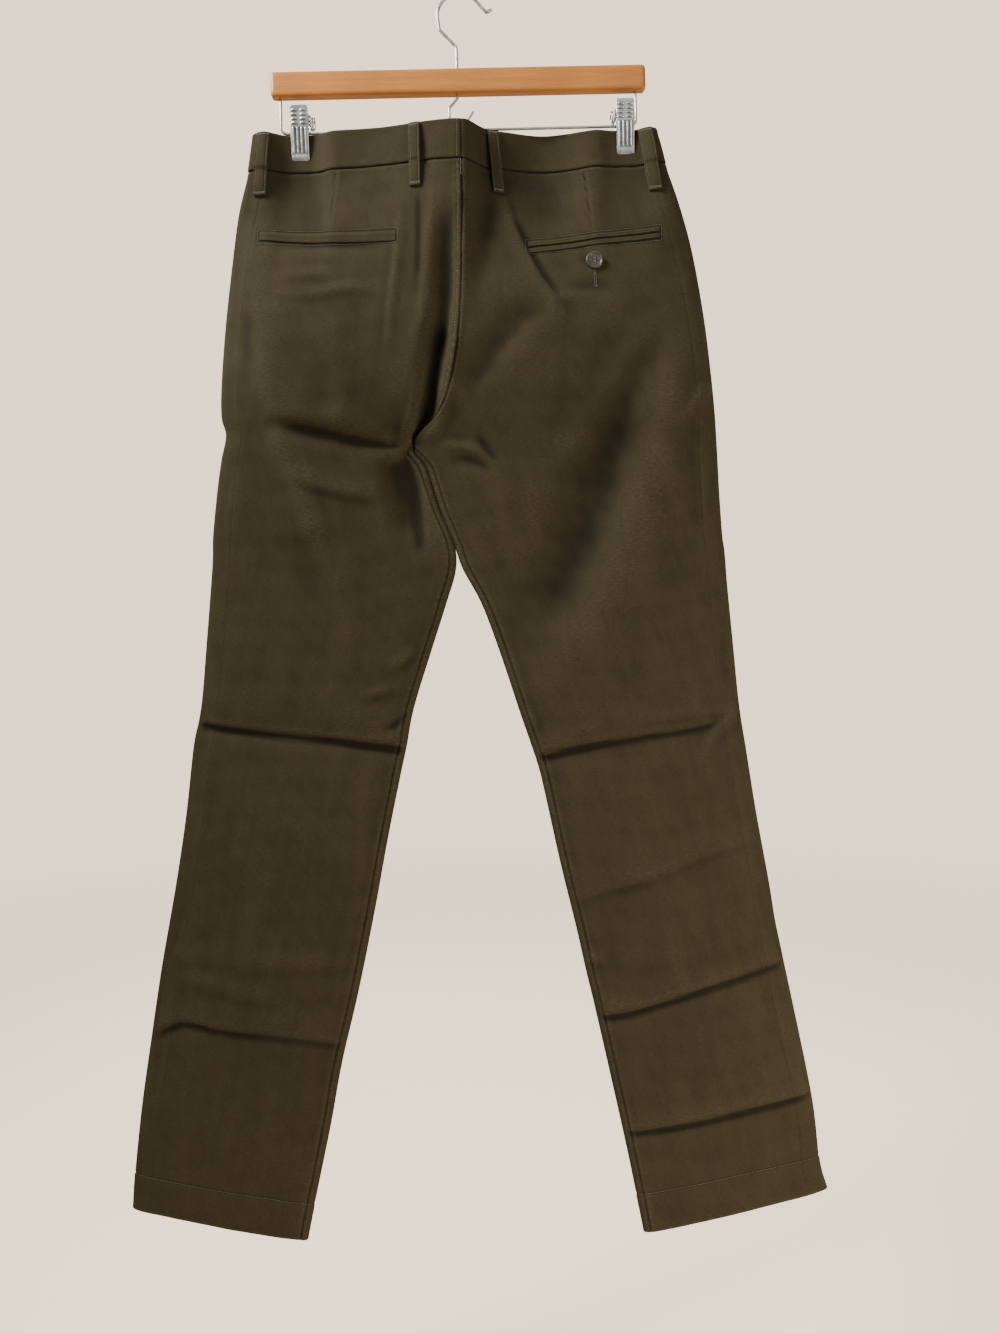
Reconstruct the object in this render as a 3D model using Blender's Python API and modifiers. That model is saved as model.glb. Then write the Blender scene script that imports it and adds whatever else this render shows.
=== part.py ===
"""Chino trousers held by the waistband in the two clips of a wooden hanger.

Frame: metres, +Z up, the seat side of the trousers towards -Y and the fly towards +Y,
the wearer's left towards -X. The origin is the inner top of the hanger's hook, where
the whole thing hangs. Every size below is in millimetres until MM turns it into metres.

Each half of the trousers is one flattened ring of cloth at every level from the top of
the waistband to the hem. A level is a row of OUTLINES and of SECTIONS, and what lies
between two rows is read from a smooth curve through them. A place on the ring is its
"turn": 0 at the inner edge of the seat side, 1 at the folded side, 2 at the inner edge
of the fly side. The inner edge is the centre seam above the crotch and the inner fold
of the leg below it.
"""

import math

import bmesh
import bpy
import numpy as np
from mathutils import Matrix, Vector
from mathutils.bvhtree import BVHTree

MM = 0.001
COLLECTION = "chino_trousers_on_clip_hanger"

# Cloth
CLOTH_WALL = 1.0
WAISTBAND_WALL = 2.0
LOOP_WALL = 1.4
LAYER_GAP = 0.3
SEAM_GAP = 0.3
RING_POWER = 2.5
FOLD_RADIUS = 2.6
OUTSEAM_INSET = 18.0
INSEAM_INSET = 5.0
WAISTBAND_LIFT = 0.8
HEM_DEPTH_LEVELS = 1.0

# Every level's flattened outline, seen from the seat side: the folded side and the
# inner edge (the centre seam, the crotch point, then the inner fold of the leg).
LEVELS = (
    "band_top", "band_seam", "hip", "pocket", "seat", "low_seat", "rise", "crotch",
    "fork", "upper_thigh", "fork_end", "gap_top", "thigh", "mid_thigh", "above_knee",
    "knee", "below_knee", "calf", "low_calf", "shin", "ankle_fold", "low_fold",
    "hem_stitch", "hem",
)
OUTLINE_COLUMNS = ("side_x", "side_z", "inner_x", "inner_z")
OUTLINES = {
    "left": (
        (-207, -138, 0, -139),
        (-213, -175, -1, -177),
        (-224, -216, -1, -219),
        (-232, -265, -2, -267),
        (-240, -328, -5, -328),
        (-245, -383, -14, -384),
        (-246, -417, -26, -418),
        (-242, -436, -56.3, -449),
        (-247, -460, -43.5, -474),
        (-252, -492, -32, -512),
        (-257, -535, -18, -548),
        (-258, -560, -15, -574),
        (-261, -594, -25, -607),
        (-266, -645, -42, -657),
        (-271, -695, -60, -712),
        (-275, -719, -68, -750),
        (-281, -746, -75, -780),
        (-290, -815, -89, -843),
        (-302, -886, -103, -912),
        (-317, -963, -121, -993),
        (-329, -1034, -139, -1064),
        (-340, -1103, -152, -1128),
        (-348, -1168, -169, -1203),
        (-351, -1204, -177, -1240),
    ),
    "right": (
        (193, -140, 0, -139),
        (202, -175, -1, -177),
        (216, -217, -1, -219),
        (228, -264, -2, -267),
        (238, -328, -5, -328),
        (244, -386, -14, -384),
        (247, -425, -26, -418),
        (248, -447, -55.6, -449),
        (249, -475, -41, -474),
        (250, -505, -29.5, -512),
        (252, -545, -14.5, -548),
        (254, -562, -7, -574),
        (256, -596, 10, -609),
        (260, -648, 27, -657),
        (264, -701, 46, -718),
        (267, -729, 62, -768),
        (271, -757, 69, -798),
        (280, -822, 83, -868),
        (291, -890, 98, -935),
        (297, -932, 107, -979),
        (304, -969, 116, -1020),
        (329, -1103, 141, -1142),
        (336, -1171, 153, -1206),
        (343, -1199, 159, -1239),
    ),
}
# How the ring stands off the hanger's plane at each level: how far the inner edge is
# closed (0 open, 1 a fold), the depth of the seat side and of the fly side, where the
# middle of the ring lies at its inner edge and at its side, and how much lower than
# the seat side the fly side is cut at the centre.
SECTION_COLUMNS = ("closure", "seat_depth", "fly_depth", "inner_y", "side_y", "fly_drop")
SECTIONS = (
    (0.00, 9.0, 15.0, 0.0, -4.0, 32.0),
    (0.00, 9.0, 15.0, 0.0, -4.0, 32.0),
    (0.00, 14.0, 16.0, -2.0, -2.0, 27.0),
    (0.00, 20.0, 17.0, -4.0, 0.0, 19.0),
    (0.00, 25.0, 17.0, -4.0, 0.0, 10.0),
    (0.40, 24.0, 17.0, -3.0, 0.0, 4.0),
    (0.75, 21.0, 16.0, -1.0, 0.0, 0.0),
    (1.00, 17.0, 15.0, 0.0, 0.0, 0.0),
    (1.00, 15.0, 14.0, 0.0, 0.0, 0.0),
    (1.00, 14.0, 13.0, 0.0, 0.0, 0.0),
    (1.00, 13.0, 12.5, 0.0, 0.0, 0.0),
    (1.00, 12.5, 12.0, 0.0, 0.0, 0.0),
    (1.00, 12.0, 12.0, 0.0, 0.0, 0.0),
    (1.00, 11.5, 11.5, 0.0, 0.0, 0.0),
    (1.00, 11.5, 11.0, 0.0, 0.0, 0.0),
    (1.00, 8.5, 10.5, 0.0, 0.0, 0.0),
    (1.00, 11.0, 10.5, 0.0, 0.0, 0.0),
    (1.00, 10.5, 10.0, 0.0, 0.0, 0.0),
    (1.00, 10.0, 10.0, 0.0, 0.0, 0.0),
    (1.00, 10.0, 9.5, 0.0, 0.0, 0.0),
    (1.00, 8.0, 9.5, 0.0, 0.0, 0.0),
    (1.00, 9.5, 9.0, 0.0, 0.0, 0.0),
    (1.00, 9.0, 9.0, 0.0, 0.0, 0.0),
    (1.00, 9.5, 9.5, 0.0, 0.0, 0.0),
)

# The largest folds: a straight trough (or, with a negative depth, a ridge) from one
# point of the outline to another.
FOLD_COLUMNS = ("half", "side", "from_x", "from_z", "to_x", "to_z", "spread", "depth")
FOLDS = (
    ("left", "seat", -186, -432, -64, -450, 10, 6.0),
    ("left", "seat", -29, -350, -42, -432, 11, 11.0),
    ("left", "seat", -55, -462, -53, -530, 12, 9.0),
    ("left", "seat", -220, -367, -160, -530, 16, -4.0),
    ("right", "seat", 22, -235, 20, -320, 14, 6.0),
    ("right", "seat", 200, -304, 75, -560, 20, 7.0),
    ("right", "seat", 174, -353, 108, -462, 15, -4.0),
    ("left", "fly", -190, -250, -110, -450, 20, 5.0),
    ("right", "fly", 170, -240, 95, -420, 18, 5.5),
    ("left", "fly", -215, -560, -90, -600, 16, 3.0),
    ("right", "fly", 220, -600, 60, -640, 17, 3.5),
)
FOLD_EDGE_FADE = 14.0

# The waistband stands out in a ridge at the centre back and dips beside it, and the
# clips pinch it flat. All three die away down the seat.
RIDGE = {"height": 20.0, "spread_left": 66.0, "spread_right": 17.0, "power": 2.3}
DIP = {"x": 85.0, "depth": 17.0, "spread": 48.0, "fly_share": 0.4}
WAIST_FADE = 90.0
CLIP_X = (-161.0, 163.0)
PINCH = {"half_width": 26.0, "reach": 70.0, "y": 1.6, "below_z": -164.0}

# Columns of each panel, as shares of the turn from one seam to the other. They are
# close together at the centre seam, at the clips and round the folds; the front's
# 0.906 lies on the leg's inner fold.
SEAT_COLUMNS = {
    "left": (0.0, 0.011, 0.04, 0.10, 0.19, 0.30, 0.43, 0.57, 0.69, 0.775, 0.87, 1.0),
    "right": (0.0, 0.011, 0.04, 0.09, 0.16, 0.26, 0.38, 0.51, 0.65, 0.785, 0.88, 1.0),
}
WRAP_COLUMNS = (0.0, 0.35, 0.72)
FLY_COLUMNS = {
    "left": (0.0, 0.07, 0.19, 0.31, 0.37, 0.433, 0.49, 0.63, 0.78, 0.86, 0.906, 0.95, 1.0),
    "right": (0.0, 0.07, 0.18, 0.277, 0.359, 0.428, 0.52, 0.65, 0.78, 0.86, 0.906, 0.95, 1.0),
}

# Belt loops: the x of their middle at the waistband's top and at their lower end.
LOOP_COLUMNS = ("name", "half", "side", "top_x", "foot_x", "width")
LOOPS = (
    ("belt_loop_back_left", "left", "seat", -46, -46, 11.0),
    ("belt_loop_back_right", "right", "seat", 31, 36, 11.0),
    ("belt_loop_side_left", "left", "seat", -195, -201, 13.0),
    ("belt_loop_side_right", "right", "seat", 181, 191, 13.0),
    ("belt_loop_front_left", "left", "fly", -92, -94, 11.0),
    ("belt_loop_front_right", "right", "fly", 88, 90, 11.0),
)
LOOP_DROP = 62.0
LOOP_LIFT = 0.6
LOOP_BOW = 2.8
LOOP_ROWS = (0.0, 0.11, 0.22, 0.33, 0.44, 0.53, 0.63, 0.75, 0.88, 1.0)

# Pieces that lie on a panel: four corners, from the upper left round to the lower
# left as seen from the side they are on.
PATCH_COLUMNS = ("name", "half", "side", "corners")
PATCHES = (
    ("back_pocket_welt_left", "left", "seat",
     ((-201, -238), (-66, -244), (-66, -255), (-201, -248))),
    ("back_pocket_upper_welt_right", "right", "seat",
     ((63, -253), (194, -240), (194, -245), (63, -259))),
    ("back_pocket_lower_welt_right", "right", "seat",
     ((63, -260.5), (194, -246.5), (194, -251.5), (63, -266))),
    ("front_pocket_edge_left", "left", "fly",
     ((-172, -190), (-160, -192), (-209, -328), (-220, -324))),
    ("front_pocket_edge_right", "right", "fly",
     ((150, -194), (162, -192), (214, -322), (203, -326))),
    ("fly_placket", "left", "fly",
     ((-42, -207), (-6, -210.5), (-16, -366), (-34, -350))),
)
PATCH_STEP = 8.5
PATCH_LIFT = 0.5

# Buttons
BUTTON = {"radius": 8.4, "thickness": 2.6, "rim": 1.9, "rim_rise": 0.7, "stand": 1.0}
BUTTON_HOLE = {"radius": 0.9, "offset": 1.7}
BACK_BUTTON_AT = (128.0, -276.0)
WAIST_BUTTON_AT = (14.0, -189.0)
FLY_TAB = {"reach": 32.0, "ramp": 20.0, "lift": 2.6}

# Hanger
BAR = {"centre": (-2.75, 0.0, -87.5), "size": (374.5, 12.0, 25.0), "round": 3.5}
HOOK_WIRE = 1.6
HOOK_RING = {"centre_z": -20.4, "radius": 22.0, "from_deg": 196.0, "to_deg": 38.0}
STEM_X = -3.5
RAIL_WIRE = 1.3
RAIL = {"left": -180.5, "right": 174.3, "z_left": -135.6, "z_right": -134.4, "corner": 6.5}
SOCKET_DEPTH = 8.0
SOCKET_GAP = 0.35
SMALL_HOOK = {"y": -3.6, "radius": 10.0, "centre": (-2.0, -121.5)}
JAW = {"width": 18.5, "top": -111.5, "foot": -163.5, "wall": 0.8, "flange": 2.6}
JAW_Y = {"foot": 3.6, "top": 9.8}
SPRING = {"z": -126.0, "radius": 5.6, "wire": 0.8, "turns": 2.0, "pitch": 1.9}

CLOTH_COLOUR = (0.050, 0.040, 0.024)
FINISHES = {
    "cloth": (CLOTH_COLOUR, 0.9, 0.0),
    "button": ((0.20, 0.17, 0.13), 0.45, 0.0),
    "wood": ((0.55, 0.23, 0.07), 0.35, 0.0),
    "metal": ((0.75, 0.76, 0.78), 0.28, 1.0),
}


# ---------------------------------------------------------------- ring geometry
def read_smooth(column, level):
    """A curve through a column's values with tangents along its neighbours' chord,
    read at fractional row numbers."""
    column = np.asarray(column, float)
    start = 2.0 * column[0] - column[1]
    end = 2.0 * column[-1] - column[-2]
    padded = np.concatenate(([start], column, [end]))
    row = np.clip(np.floor(level).astype(int), 0, len(column) - 2)
    part = level - row
    before, here, after, beyond = (padded[row + step] for step in range(4))
    return 0.5 * (
        2.0 * here
        + (after - before) * part
        + (2.0 * before - 5.0 * here + 4.0 * after - beyond) * part**2
        + (3.0 * here - before - 3.0 * after + beyond) * part**3
    )


def row_values(half, level):
    """Every named value of a half's outline and section at these levels."""
    outline = dict(zip(OUTLINE_COLUMNS, np.transpose(OUTLINES[half])))
    section = dict(zip(SECTION_COLUMNS, np.transpose(SECTIONS)))
    values = {name: read_smooth(column, level) for name, column in outline.items()}
    values |= {name: read_smooth(column, level) for name, column in section.items()}
    values["closure"] = np.clip(values["closure"], 0.0, 1.0)
    values["reach"] = np.hypot(
        values["side_x"] - values["inner_x"], values["side_z"] - values["inner_z"]
    )
    return values


def place_along(closure, turn):
    """Where a turn from 0 to 1 falls across the ring: from -closure at the inner edge
    to 1 at the side, close together at each end that is a fold."""
    quarter = np.sin(0.5 * math.pi * turn)
    half = -np.cos(math.pi * turn)
    return (1.0 - closure) * quarter + closure * half


def lens(values, along, depth, lift):
    """One point of a flattened ring: a superellipse shrunk by FOLD_RADIUS and grown
    again along its normals, so that no fold is tighter than that. Returns the
    distance along the row from the ring's middle and the depth."""
    half_width = values["reach"] / (1.0 + values["closure"]) - FOLD_RADIUS
    thin = depth - FOLD_RADIUS
    out = (1.0 - np.abs(along) ** RING_POWER) ** (1.0 / RING_POWER)
    normal_along = np.sign(along) * np.abs(along) ** (RING_POWER - 1.0) / half_width
    normal_out = out ** (RING_POWER - 1.0) / thin
    size = np.hypot(normal_along, normal_out)
    grown = FOLD_RADIUS + lift
    return (
        half_width * along + grown * normal_along / size,
        thin * out + grown * normal_out / size,
    )


def fold_shift(half, side, x, z):
    """How far the folds push the cloth inwards: for each, its depth times a bell
    curve of the distance to its line, fading past its ends."""
    shift = np.zeros(np.broadcast(x, z).shape)
    for fold in FOLDS:
        row = dict(zip(FOLD_COLUMNS, fold))
        if (row["half"], row["side"]) != (half, side):
            continue
        run_x, run_z = row["to_x"] - row["from_x"], row["to_z"] - row["from_z"]
        length = math.hypot(run_x, run_z)
        along = ((x - row["from_x"]) * run_x + (z - row["from_z"]) * run_z) / length
        across = ((x - row["from_x"]) * run_z - (z - row["from_z"]) * run_x) / length
        past = np.maximum(np.maximum(-along, along - length), 0.0)
        shift += row["depth"] * np.exp(-(across**2 + past**2) / row["spread"] ** 2)
    return shift


def waist_shift(values, x, z, seat_side):
    """The centre-back ridge and the dip beside it, fading down the seat."""
    fade = np.exp(-(np.maximum(-177.0 - z, 0.0) / WAIST_FADE) ** 2)
    dip = DIP["depth"] * fade * np.exp(-(((x - DIP["x"]) / DIP["spread"]) ** 2))
    off_centre = x - values["inner_x"]
    spread = np.where(off_centre < 0.0, RIDGE["spread_left"], RIDGE["spread_right"])
    ridge = RIDGE["height"] * fade * np.exp(-(np.abs(off_centre / spread) ** RIDGE["power"]))
    return np.where(seat_side, dip - ridge, DIP["fly_share"] * dip)


def pinch_share(x, z):
    """1 inside a clip's bite, falling to 0 away from it."""
    across = np.minimum(np.abs(x - CLIP_X[0]), np.abs(x - CLIP_X[1]))
    below = np.maximum(PINCH["below_z"] - z, 0.0)
    return np.exp(-((across / PINCH["half_width"]) ** 4) - (below / PINCH["reach"]) ** 2)


def half_surface(half, level, turn, lift=0.0):
    """Points (mm) of one half's outer face, moved out by lift. Level and turn are
    arrays of one shape. A turn past 2 runs on round the inner fold to the seat side."""
    level, turn = np.broadcast_arrays(np.asarray(level, float), np.asarray(turn, float))
    turn = np.where(turn > 2.0, turn - 2.0, turn)
    values = row_values(half, level)
    seat_side = turn <= 1.0
    across = place_along(values["closure"], np.where(seat_side, turn, 2.0 - turn))
    depth = np.where(seat_side, values["seat_depth"], values["fly_depth"])
    along, out = lens(values, across, depth, lift)
    inner_end = lens(values, -values["closure"], depth, 0.0)[0]
    side_end = values["reach"] / (1.0 + values["closure"])
    share = (along - inner_end) / (side_end - inner_end)
    x = values["inner_x"] + (values["side_x"] - values["inner_x"]) * share
    z = values["inner_z"] + (values["side_z"] - values["inner_z"]) * share
    z = z - np.where(seat_side, 0.0, values["fly_drop"] * np.clip(1.0 - share, 0.0, 1.0) ** 2)
    middle = values["inner_y"] + (values["side_y"] - values["inner_y"]) * share
    from_side = values["reach"] * np.abs(1.0 - share)
    from_inner = values["reach"] * np.abs(share)
    edge = 1.0 - np.exp(-((from_side / FOLD_EDGE_FADE) ** 2))
    edge = edge * (1.0 - values["closure"] * np.exp(-((from_inner / FOLD_EDGE_FADE) ** 2)))
    folds = np.where(
        seat_side, fold_shift(half, "seat", x, z), -fold_shift(half, "fly", x, z)
    )
    y = middle + np.where(seat_side, -out, out)
    y = y + edge * (folds + waist_shift(values, x, z, seat_side))
    pinch = pinch_share(x, z) * edge
    held = np.where(seat_side, -1.0, 1.0) * (PINCH["y"] + lift)
    return np.stack([x, y * (1.0 - pinch) + held * pinch, z], axis=-1)


def halve(low, high, falls_short):
    """Closes in on the value at which falls_short turns false, in arrays."""
    for _ in range(36):
        middle = 0.5 * (low + high)
        short = falls_short(middle)
        low, high = np.where(short, middle, low), np.where(short, high, middle)
    return 0.5 * (low + high)


def seam_turn(half, level, inset, at_side):
    """The turn of a seam that lies inset mm in from the side (or inner) fold."""
    values = row_values(half, level)
    half_width = values["reach"] / (1.0 + values["closure"])
    place = 1.0 - inset / half_width
    place = place if at_side else -place
    start = np.zeros(np.shape(level))
    return halve(
        start, start + 1.0, lambda turn: place_along(values["closure"], turn) < place
    )


def find_turn(half, side, x, z):
    """The level and turn of the points at (x, z) on one side of a half."""
    x, z = np.broadcast_arrays(np.asarray(x, float), np.asarray(z, float))
    row_z = z

    def above(level):
        row = row_values(half, level)
        slope = (row["side_z"] - row["inner_z"]) / (row["side_x"] - row["inner_x"])
        return row["inner_z"] + slope * (x - row["inner_x"]) > row_z

    for _ in range(4):
        level = halve(np.zeros(x.shape), np.full(x.shape, len(LEVELS) - 1.0), above)
        values = row_values(half, level)
        width = values["side_x"] - values["inner_x"]
        if side == "fly":
            short = np.clip(1.0 - (x - values["inner_x"]) / width, 0.0, 1.0)
            row_z = z + values["fly_drop"] * short**2
    turn = halve(
        np.zeros(x.shape), np.ones(x.shape),
        lambda turn: (half_surface(half, level, turn)[..., 0] - x) * width < 0.0,
    )
    return level, turn if side == "seat" else 2.0 - turn


# ---------------------------------------------------------------- object making
def finish_as(obj, finish):
    """Gives an object a material of its own."""
    colour, roughness, metallic = FINISHES[finish]
    material = bpy.data.materials.new(obj.name)
    material.use_nodes = True
    shader = material.node_tree.nodes["Principled BSDF"]
    shader.inputs["Base Color"].default_value = (*colour, 1.0)
    shader.inputs["Roughness"].default_value = roughness
    shader.inputs["Metallic"].default_value = metallic
    obj.data.materials.clear()
    obj.data.materials.append(material)


def new_object(name, data, finish):
    obj = bpy.data.objects.new(name, data)
    bpy.data.collections[COLLECTION].objects.link(obj)
    finish_as(obj, finish)
    return obj


def grid_faces(rows, columns, closed=False, flip=False):
    """Triangles between neighbouring points of a grid, wound so that a grid running
    down and to the right faces the viewer. Both faces of a wall are split along the
    same diagonal, so that they stay apart where the cloth twists."""
    faces = []
    for row in range(rows - 1):
        for column in range(columns if closed else columns - 1):
            after = (column + 1) % columns
            top_left, low_left = row * columns + column, (row + 1) * columns + column
            top_right, low_right = row * columns + after, (row + 1) * columns + after
            faces.append((top_left, low_left, low_right))
            faces.append((top_left, low_right, top_right))
    return [face[::-1] for face in faces] if flip else faces


def cloth_object(name, points, faces):
    mesh = bpy.data.meshes.new(name)
    mesh.from_pydata((points.reshape(-1, 3) * MM).tolist(), [], faces)
    mesh.shade_smooth()
    return new_object(name, mesh, "cloth")


def cloth_sheet(name, grid, wall, flip=False):
    """A grid of points (mm) thickened outwards with Solidify."""
    obj = cloth_object(name, grid, grid_faces(*grid.shape[:2], flip=flip))
    solid = obj.modifiers.new("wall", "SOLIDIFY")
    solid.thickness = wall * MM
    solid.offset = 1.0
    return obj


def cloth_wall(name, outer, inner, closed=False, flip=False):
    """A wall lofted between its outer and its inner face, two grids of one shape."""
    rows, columns = outer.shape[:2]
    count = rows * columns
    faces = grid_faces(rows, columns, closed, flip)
    inside = grid_faces(rows, columns, closed, not flip)
    faces += [tuple(count + corner for corner in face) for face in inside]
    number = np.arange(count).reshape(rows, columns)
    if closed:
        ring = np.concatenate([number, number[:, :1]], axis=1)
        edges = [ring[0][::-1], ring[-1]]
    else:
        edges = [np.concatenate([
            number[0, ::-1], number[1:, 0], number[-1, 1:], number[-2::-1, -1]])]
    for edge in edges:
        for here, after in zip(edge.tolist(), edge.tolist()[1:]):
            face = (here, after, count + after, count + here)
            faces.append(face if flip else face[::-1])
    return cloth_object(name, np.stack([outer, inner]), faces)


def pull_edges(grid, first_column=0.0, last_column=0.0, first_row=0.0, last_row=0.0):
    """Moves a grid's border points towards their neighbours by these distances."""
    grid = grid.copy()

    def pull(edge, neighbour, distance):
        step = neighbour - edge
        return edge + distance * step / np.linalg.norm(step, axis=-1, keepdims=True)

    grid[:, 0] = pull(grid[:, 0], grid[:, 1], first_column)
    grid[:, -1] = pull(grid[:, -1], grid[:, -2], last_column)
    grid[0] = pull(grid[0], grid[1], first_row)
    grid[-1] = pull(grid[-1], grid[-2], last_row)
    return grid


# ---------------------------------------------------------------- trousers
def panel_levels():
    """Rows of a leg panel: each level below the waistband and, down the seat, the
    middles between them."""
    first = LEVELS.index("band_seam")
    last = len(LEVELS) - 1
    middles = [first + 0.5, first + 1.5, first + 2.5, first + 3.5, first + 4.5]
    middles += [LEVELS.index("rise") + 0.5]
    return np.array(sorted(list(range(first, last + 1)) + middles), float)


def inseam_turn(half, level):
    """The inseam lies on the seat side of the leg from the crotch down. Above the
    crotch the panels end at the inner edge itself."""
    below_crotch = level >= LEVELS.index("crotch")
    return below_crotch * seam_turn(half, level, INSEAM_INSET, at_side=False)


def seat_turns(half, level):
    start = inseam_turn(half, level)
    end = seam_turn(half, level, OUTSEAM_INSET, at_side=True)
    return start + (end - start) * np.array(SEAT_COLUMNS[half])


def fly_turns(half, level):
    """From the outseam on the seat side, round the side fold and across the front."""
    side = seam_turn(half, level, OUTSEAM_INSET, at_side=True)
    wrap = side + (1.0 - side) * np.array(WRAP_COLUMNS)
    front = 1.0 + (1.0 + inseam_turn(half, level)) * np.array(FLY_COLUMNS[half])
    return np.concatenate([wrap, front], axis=1)


def leg_panel(name, half, turns):
    level = panel_levels()[:, None]
    gap = SEAM_GAP / 2
    outer, inner = (
        pull_edges(
            half_surface(half, level, turns(half, level), lift),
            first_column=gap, last_column=gap, first_row=gap)
        for lift in (0.0, -CLOTH_WALL)
    )
    cloth_wall(name + half, outer, inner, flip=half == "left")


def band_grid(half, lift):
    """One half of the waistband, from the centre back round the side to the front.
    The left one runs on past the centre as a tab that lies over the right one."""
    level = np.array([0.0, 0.34, 0.67, 1.0])[:, None]
    turn = np.concatenate([seat_turns(half, level)[:, :-1], fly_turns(half, level)], axis=1)
    grid = half_surface(half, level, turn, lift)
    gap = SEAM_GAP / 2
    if half == "right":
        return pull_edges(grid, first_column=gap, last_column=gap, last_row=gap)
    near = np.clip(1.0 + grid[..., 0] / FLY_TAB["ramp"], 0.0, 1.0) * (turn > 1.0)
    grid[..., 1] += FLY_TAB["lift"] * near
    x = np.array([0.3, 0.65, 1.0]) * FLY_TAB["reach"]
    tab_turn = find_turn("right", "fly", x, np.full(3, -190.0))[1]
    tab = half_surface("right", level, tab_turn[None, :], lift + FLY_TAB["lift"])
    grid = np.concatenate([grid, tab], axis=1)
    return pull_edges(grid, first_column=gap, last_row=gap)


def waistband(half):
    outer, inner = (
        band_grid(half, WAISTBAND_LIFT), band_grid(half, WAISTBAND_LIFT - WAISTBAND_WALL))
    cloth_wall("waistband_" + half, outer, inner, flip=half == "left")


def hem(half):
    """The turned-up cloth inside the leg's mouth: a closed ring behind the panels."""
    last = len(LEVELS) - 1
    level = last - HEM_DEPTH_LEVELS * np.array([1.0, 0.01])[:, None]
    turn = np.concatenate(
        [seat_turns(half, level)[:, :-1], fly_turns(half, level)[:, :-1]], axis=1)
    outer = half_surface(half, level, turn, -(CLOTH_WALL + LAYER_GAP))
    inner = half_surface(half, level, turn, -(2 * CLOTH_WALL + LAYER_GAP))
    cloth_wall("hem_" + half, outer, inner, closed=True, flip=half == "left")


def lay_on(names, side, x, z, lift):
    """Points at (x, z) on the outermost of the named pieces, moved out by lift."""
    outward = -1.0 if side == "seat" else 1.0
    graph = bpy.context.evaluated_depsgraph_get()
    trees = [BVHTree.FromObject(bpy.data.objects[name], graph) for name in names]
    points = np.empty(x.shape + (3,))
    for place in np.ndindex(x.shape):
        start = Vector((x[place], 200.0 * outward, z[place])) * MM
        heights = []
        for tree in trees:
            hit, normal = tree.ray_cast(start, Vector((0.0, -outward, 0.0)))[:2]
            if hit is not None:
                rise = lift[place] / max(abs(normal.y), 0.5)
                heights.append(hit.y / MM + outward * rise)
        points[place] = (x[place], outward * max(outward * y for y in heights), z[place])
    return points


def belt_loop(name, half, side, top_x, foot_x, width):
    """A strip from the waistband's top edge to below its seam, bowed off the band."""
    down = np.array(LOOP_ROWS)[:, None]
    middle = top_x + (foot_x - top_x) * down
    x = middle + np.array([-0.5, 0.0, 0.5]) * width
    turn = find_turn(half, side, x[:1], np.full((1, 3), -150.0))[1]
    top_z = half_surface(half, np.zeros((1, 3)), turn)[..., 2]
    bow = LOOP_LIFT + LOOP_BOW * np.sin(math.pi * down) ** 0.8 + 0 * x
    panel = "back_panel_" if side == "seat" else "front_panel_"
    under = ["waistband_" + half, panel + half, "front_panel_" + half]
    grid = lay_on(under, side, x, top_z - 1.0 - LOOP_DROP * down, bow)
    cloth_sheet(name, grid, LOOP_WALL, flip=side == "fly")


def patch(name, half, side, corners):
    """A piece that lies on a panel, inside four corners given on the outline."""
    top_left, top_right, low_right, low_left = (np.array(c, float) for c in corners)
    rows = max(2, round(np.linalg.norm(low_left - top_left) / PATCH_STEP)) + 1
    columns = max(2, round(np.linalg.norm(top_right - top_left) / PATCH_STEP)) + 1
    down = np.linspace(0.0, 1.0, rows)[:, None, None]
    over = np.linspace(0.0, 1.0, columns)[None, :, None]
    flat = (1 - down) * ((1 - over) * top_left + over * top_right) + down * (
        (1 - over) * low_left + over * low_right
    )
    panel = "back_panel_" if side == "seat" else "front_panel_"
    lift = np.full(flat.shape[:2], PATCH_LIFT)
    grid = lay_on([panel + half], side, flat[..., 0], flat[..., 1], lift)
    cloth_sheet(name, grid, CLOTH_WALL, flip=side == "fly")


def button(name, half, side, at, lift):
    """A four-hole button with a raised rim, facing out of the cloth under it."""
    level, turn = find_turn(half, side, np.array([at[0]]), np.array([at[1]]))
    steps = np.array([[0.0, 0.0], [0.04, 0.0], [0.0, 0.02]])
    here, down, along = half_surface(half, level + steps[:, 0], turn + steps[:, 1], lift)
    normal = Vector(np.cross(down - here, along - here)).normalized()
    outward = -1.0 if side == "seat" else 1.0
    normal = normal if normal.y * outward > 0.0 else -normal
    radius, thick = BUTTON["radius"], BUTTON["thickness"]
    rim, rise = BUTTON["rim"], BUTTON["rim_rise"]
    profile = [
        (0.0, thick - rise), (radius - rim - 0.6, thick - rise), (radius - rim, thick),
        (radius - 0.5, thick), (radius, thick - 0.5), (radius, 0.5),
        (radius - 0.5, 0.0), (0.0, 0.0),
    ]
    mesh = bpy.data.meshes.new(name)
    points = [(r * MM, 0.0, z * MM) for r, z in profile]
    mesh.from_pydata(points, [(i, i + 1) for i in range(len(points) - 1)], [])
    obj = new_object(name, mesh, "button")
    turned = obj.modifiers.new("turned", "SCREW")
    turned.steps = turned.render_steps = 24
    turned.use_merge_vertices = True
    turned.merge_threshold = 0.00001
    place = Vector(here * MM) + normal * BUTTON["stand"] * MM
    tilt = normal.to_track_quat("Z", "Y").to_matrix().to_4x4()
    tilt.translation = place
    obj.matrix_world = tilt
    for index in range(4):
        angle = math.radians(45 + 90 * index)
        offset = BUTTON_HOLE["offset"] * MM
        spot = tilt @ Vector((offset * math.cos(angle), offset * math.sin(angle), 0.0))
        drill(obj, spot, BUTTON_HOLE["radius"], 4.0 * thick, tilt.to_3x3().to_4x4())
    return obj


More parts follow.
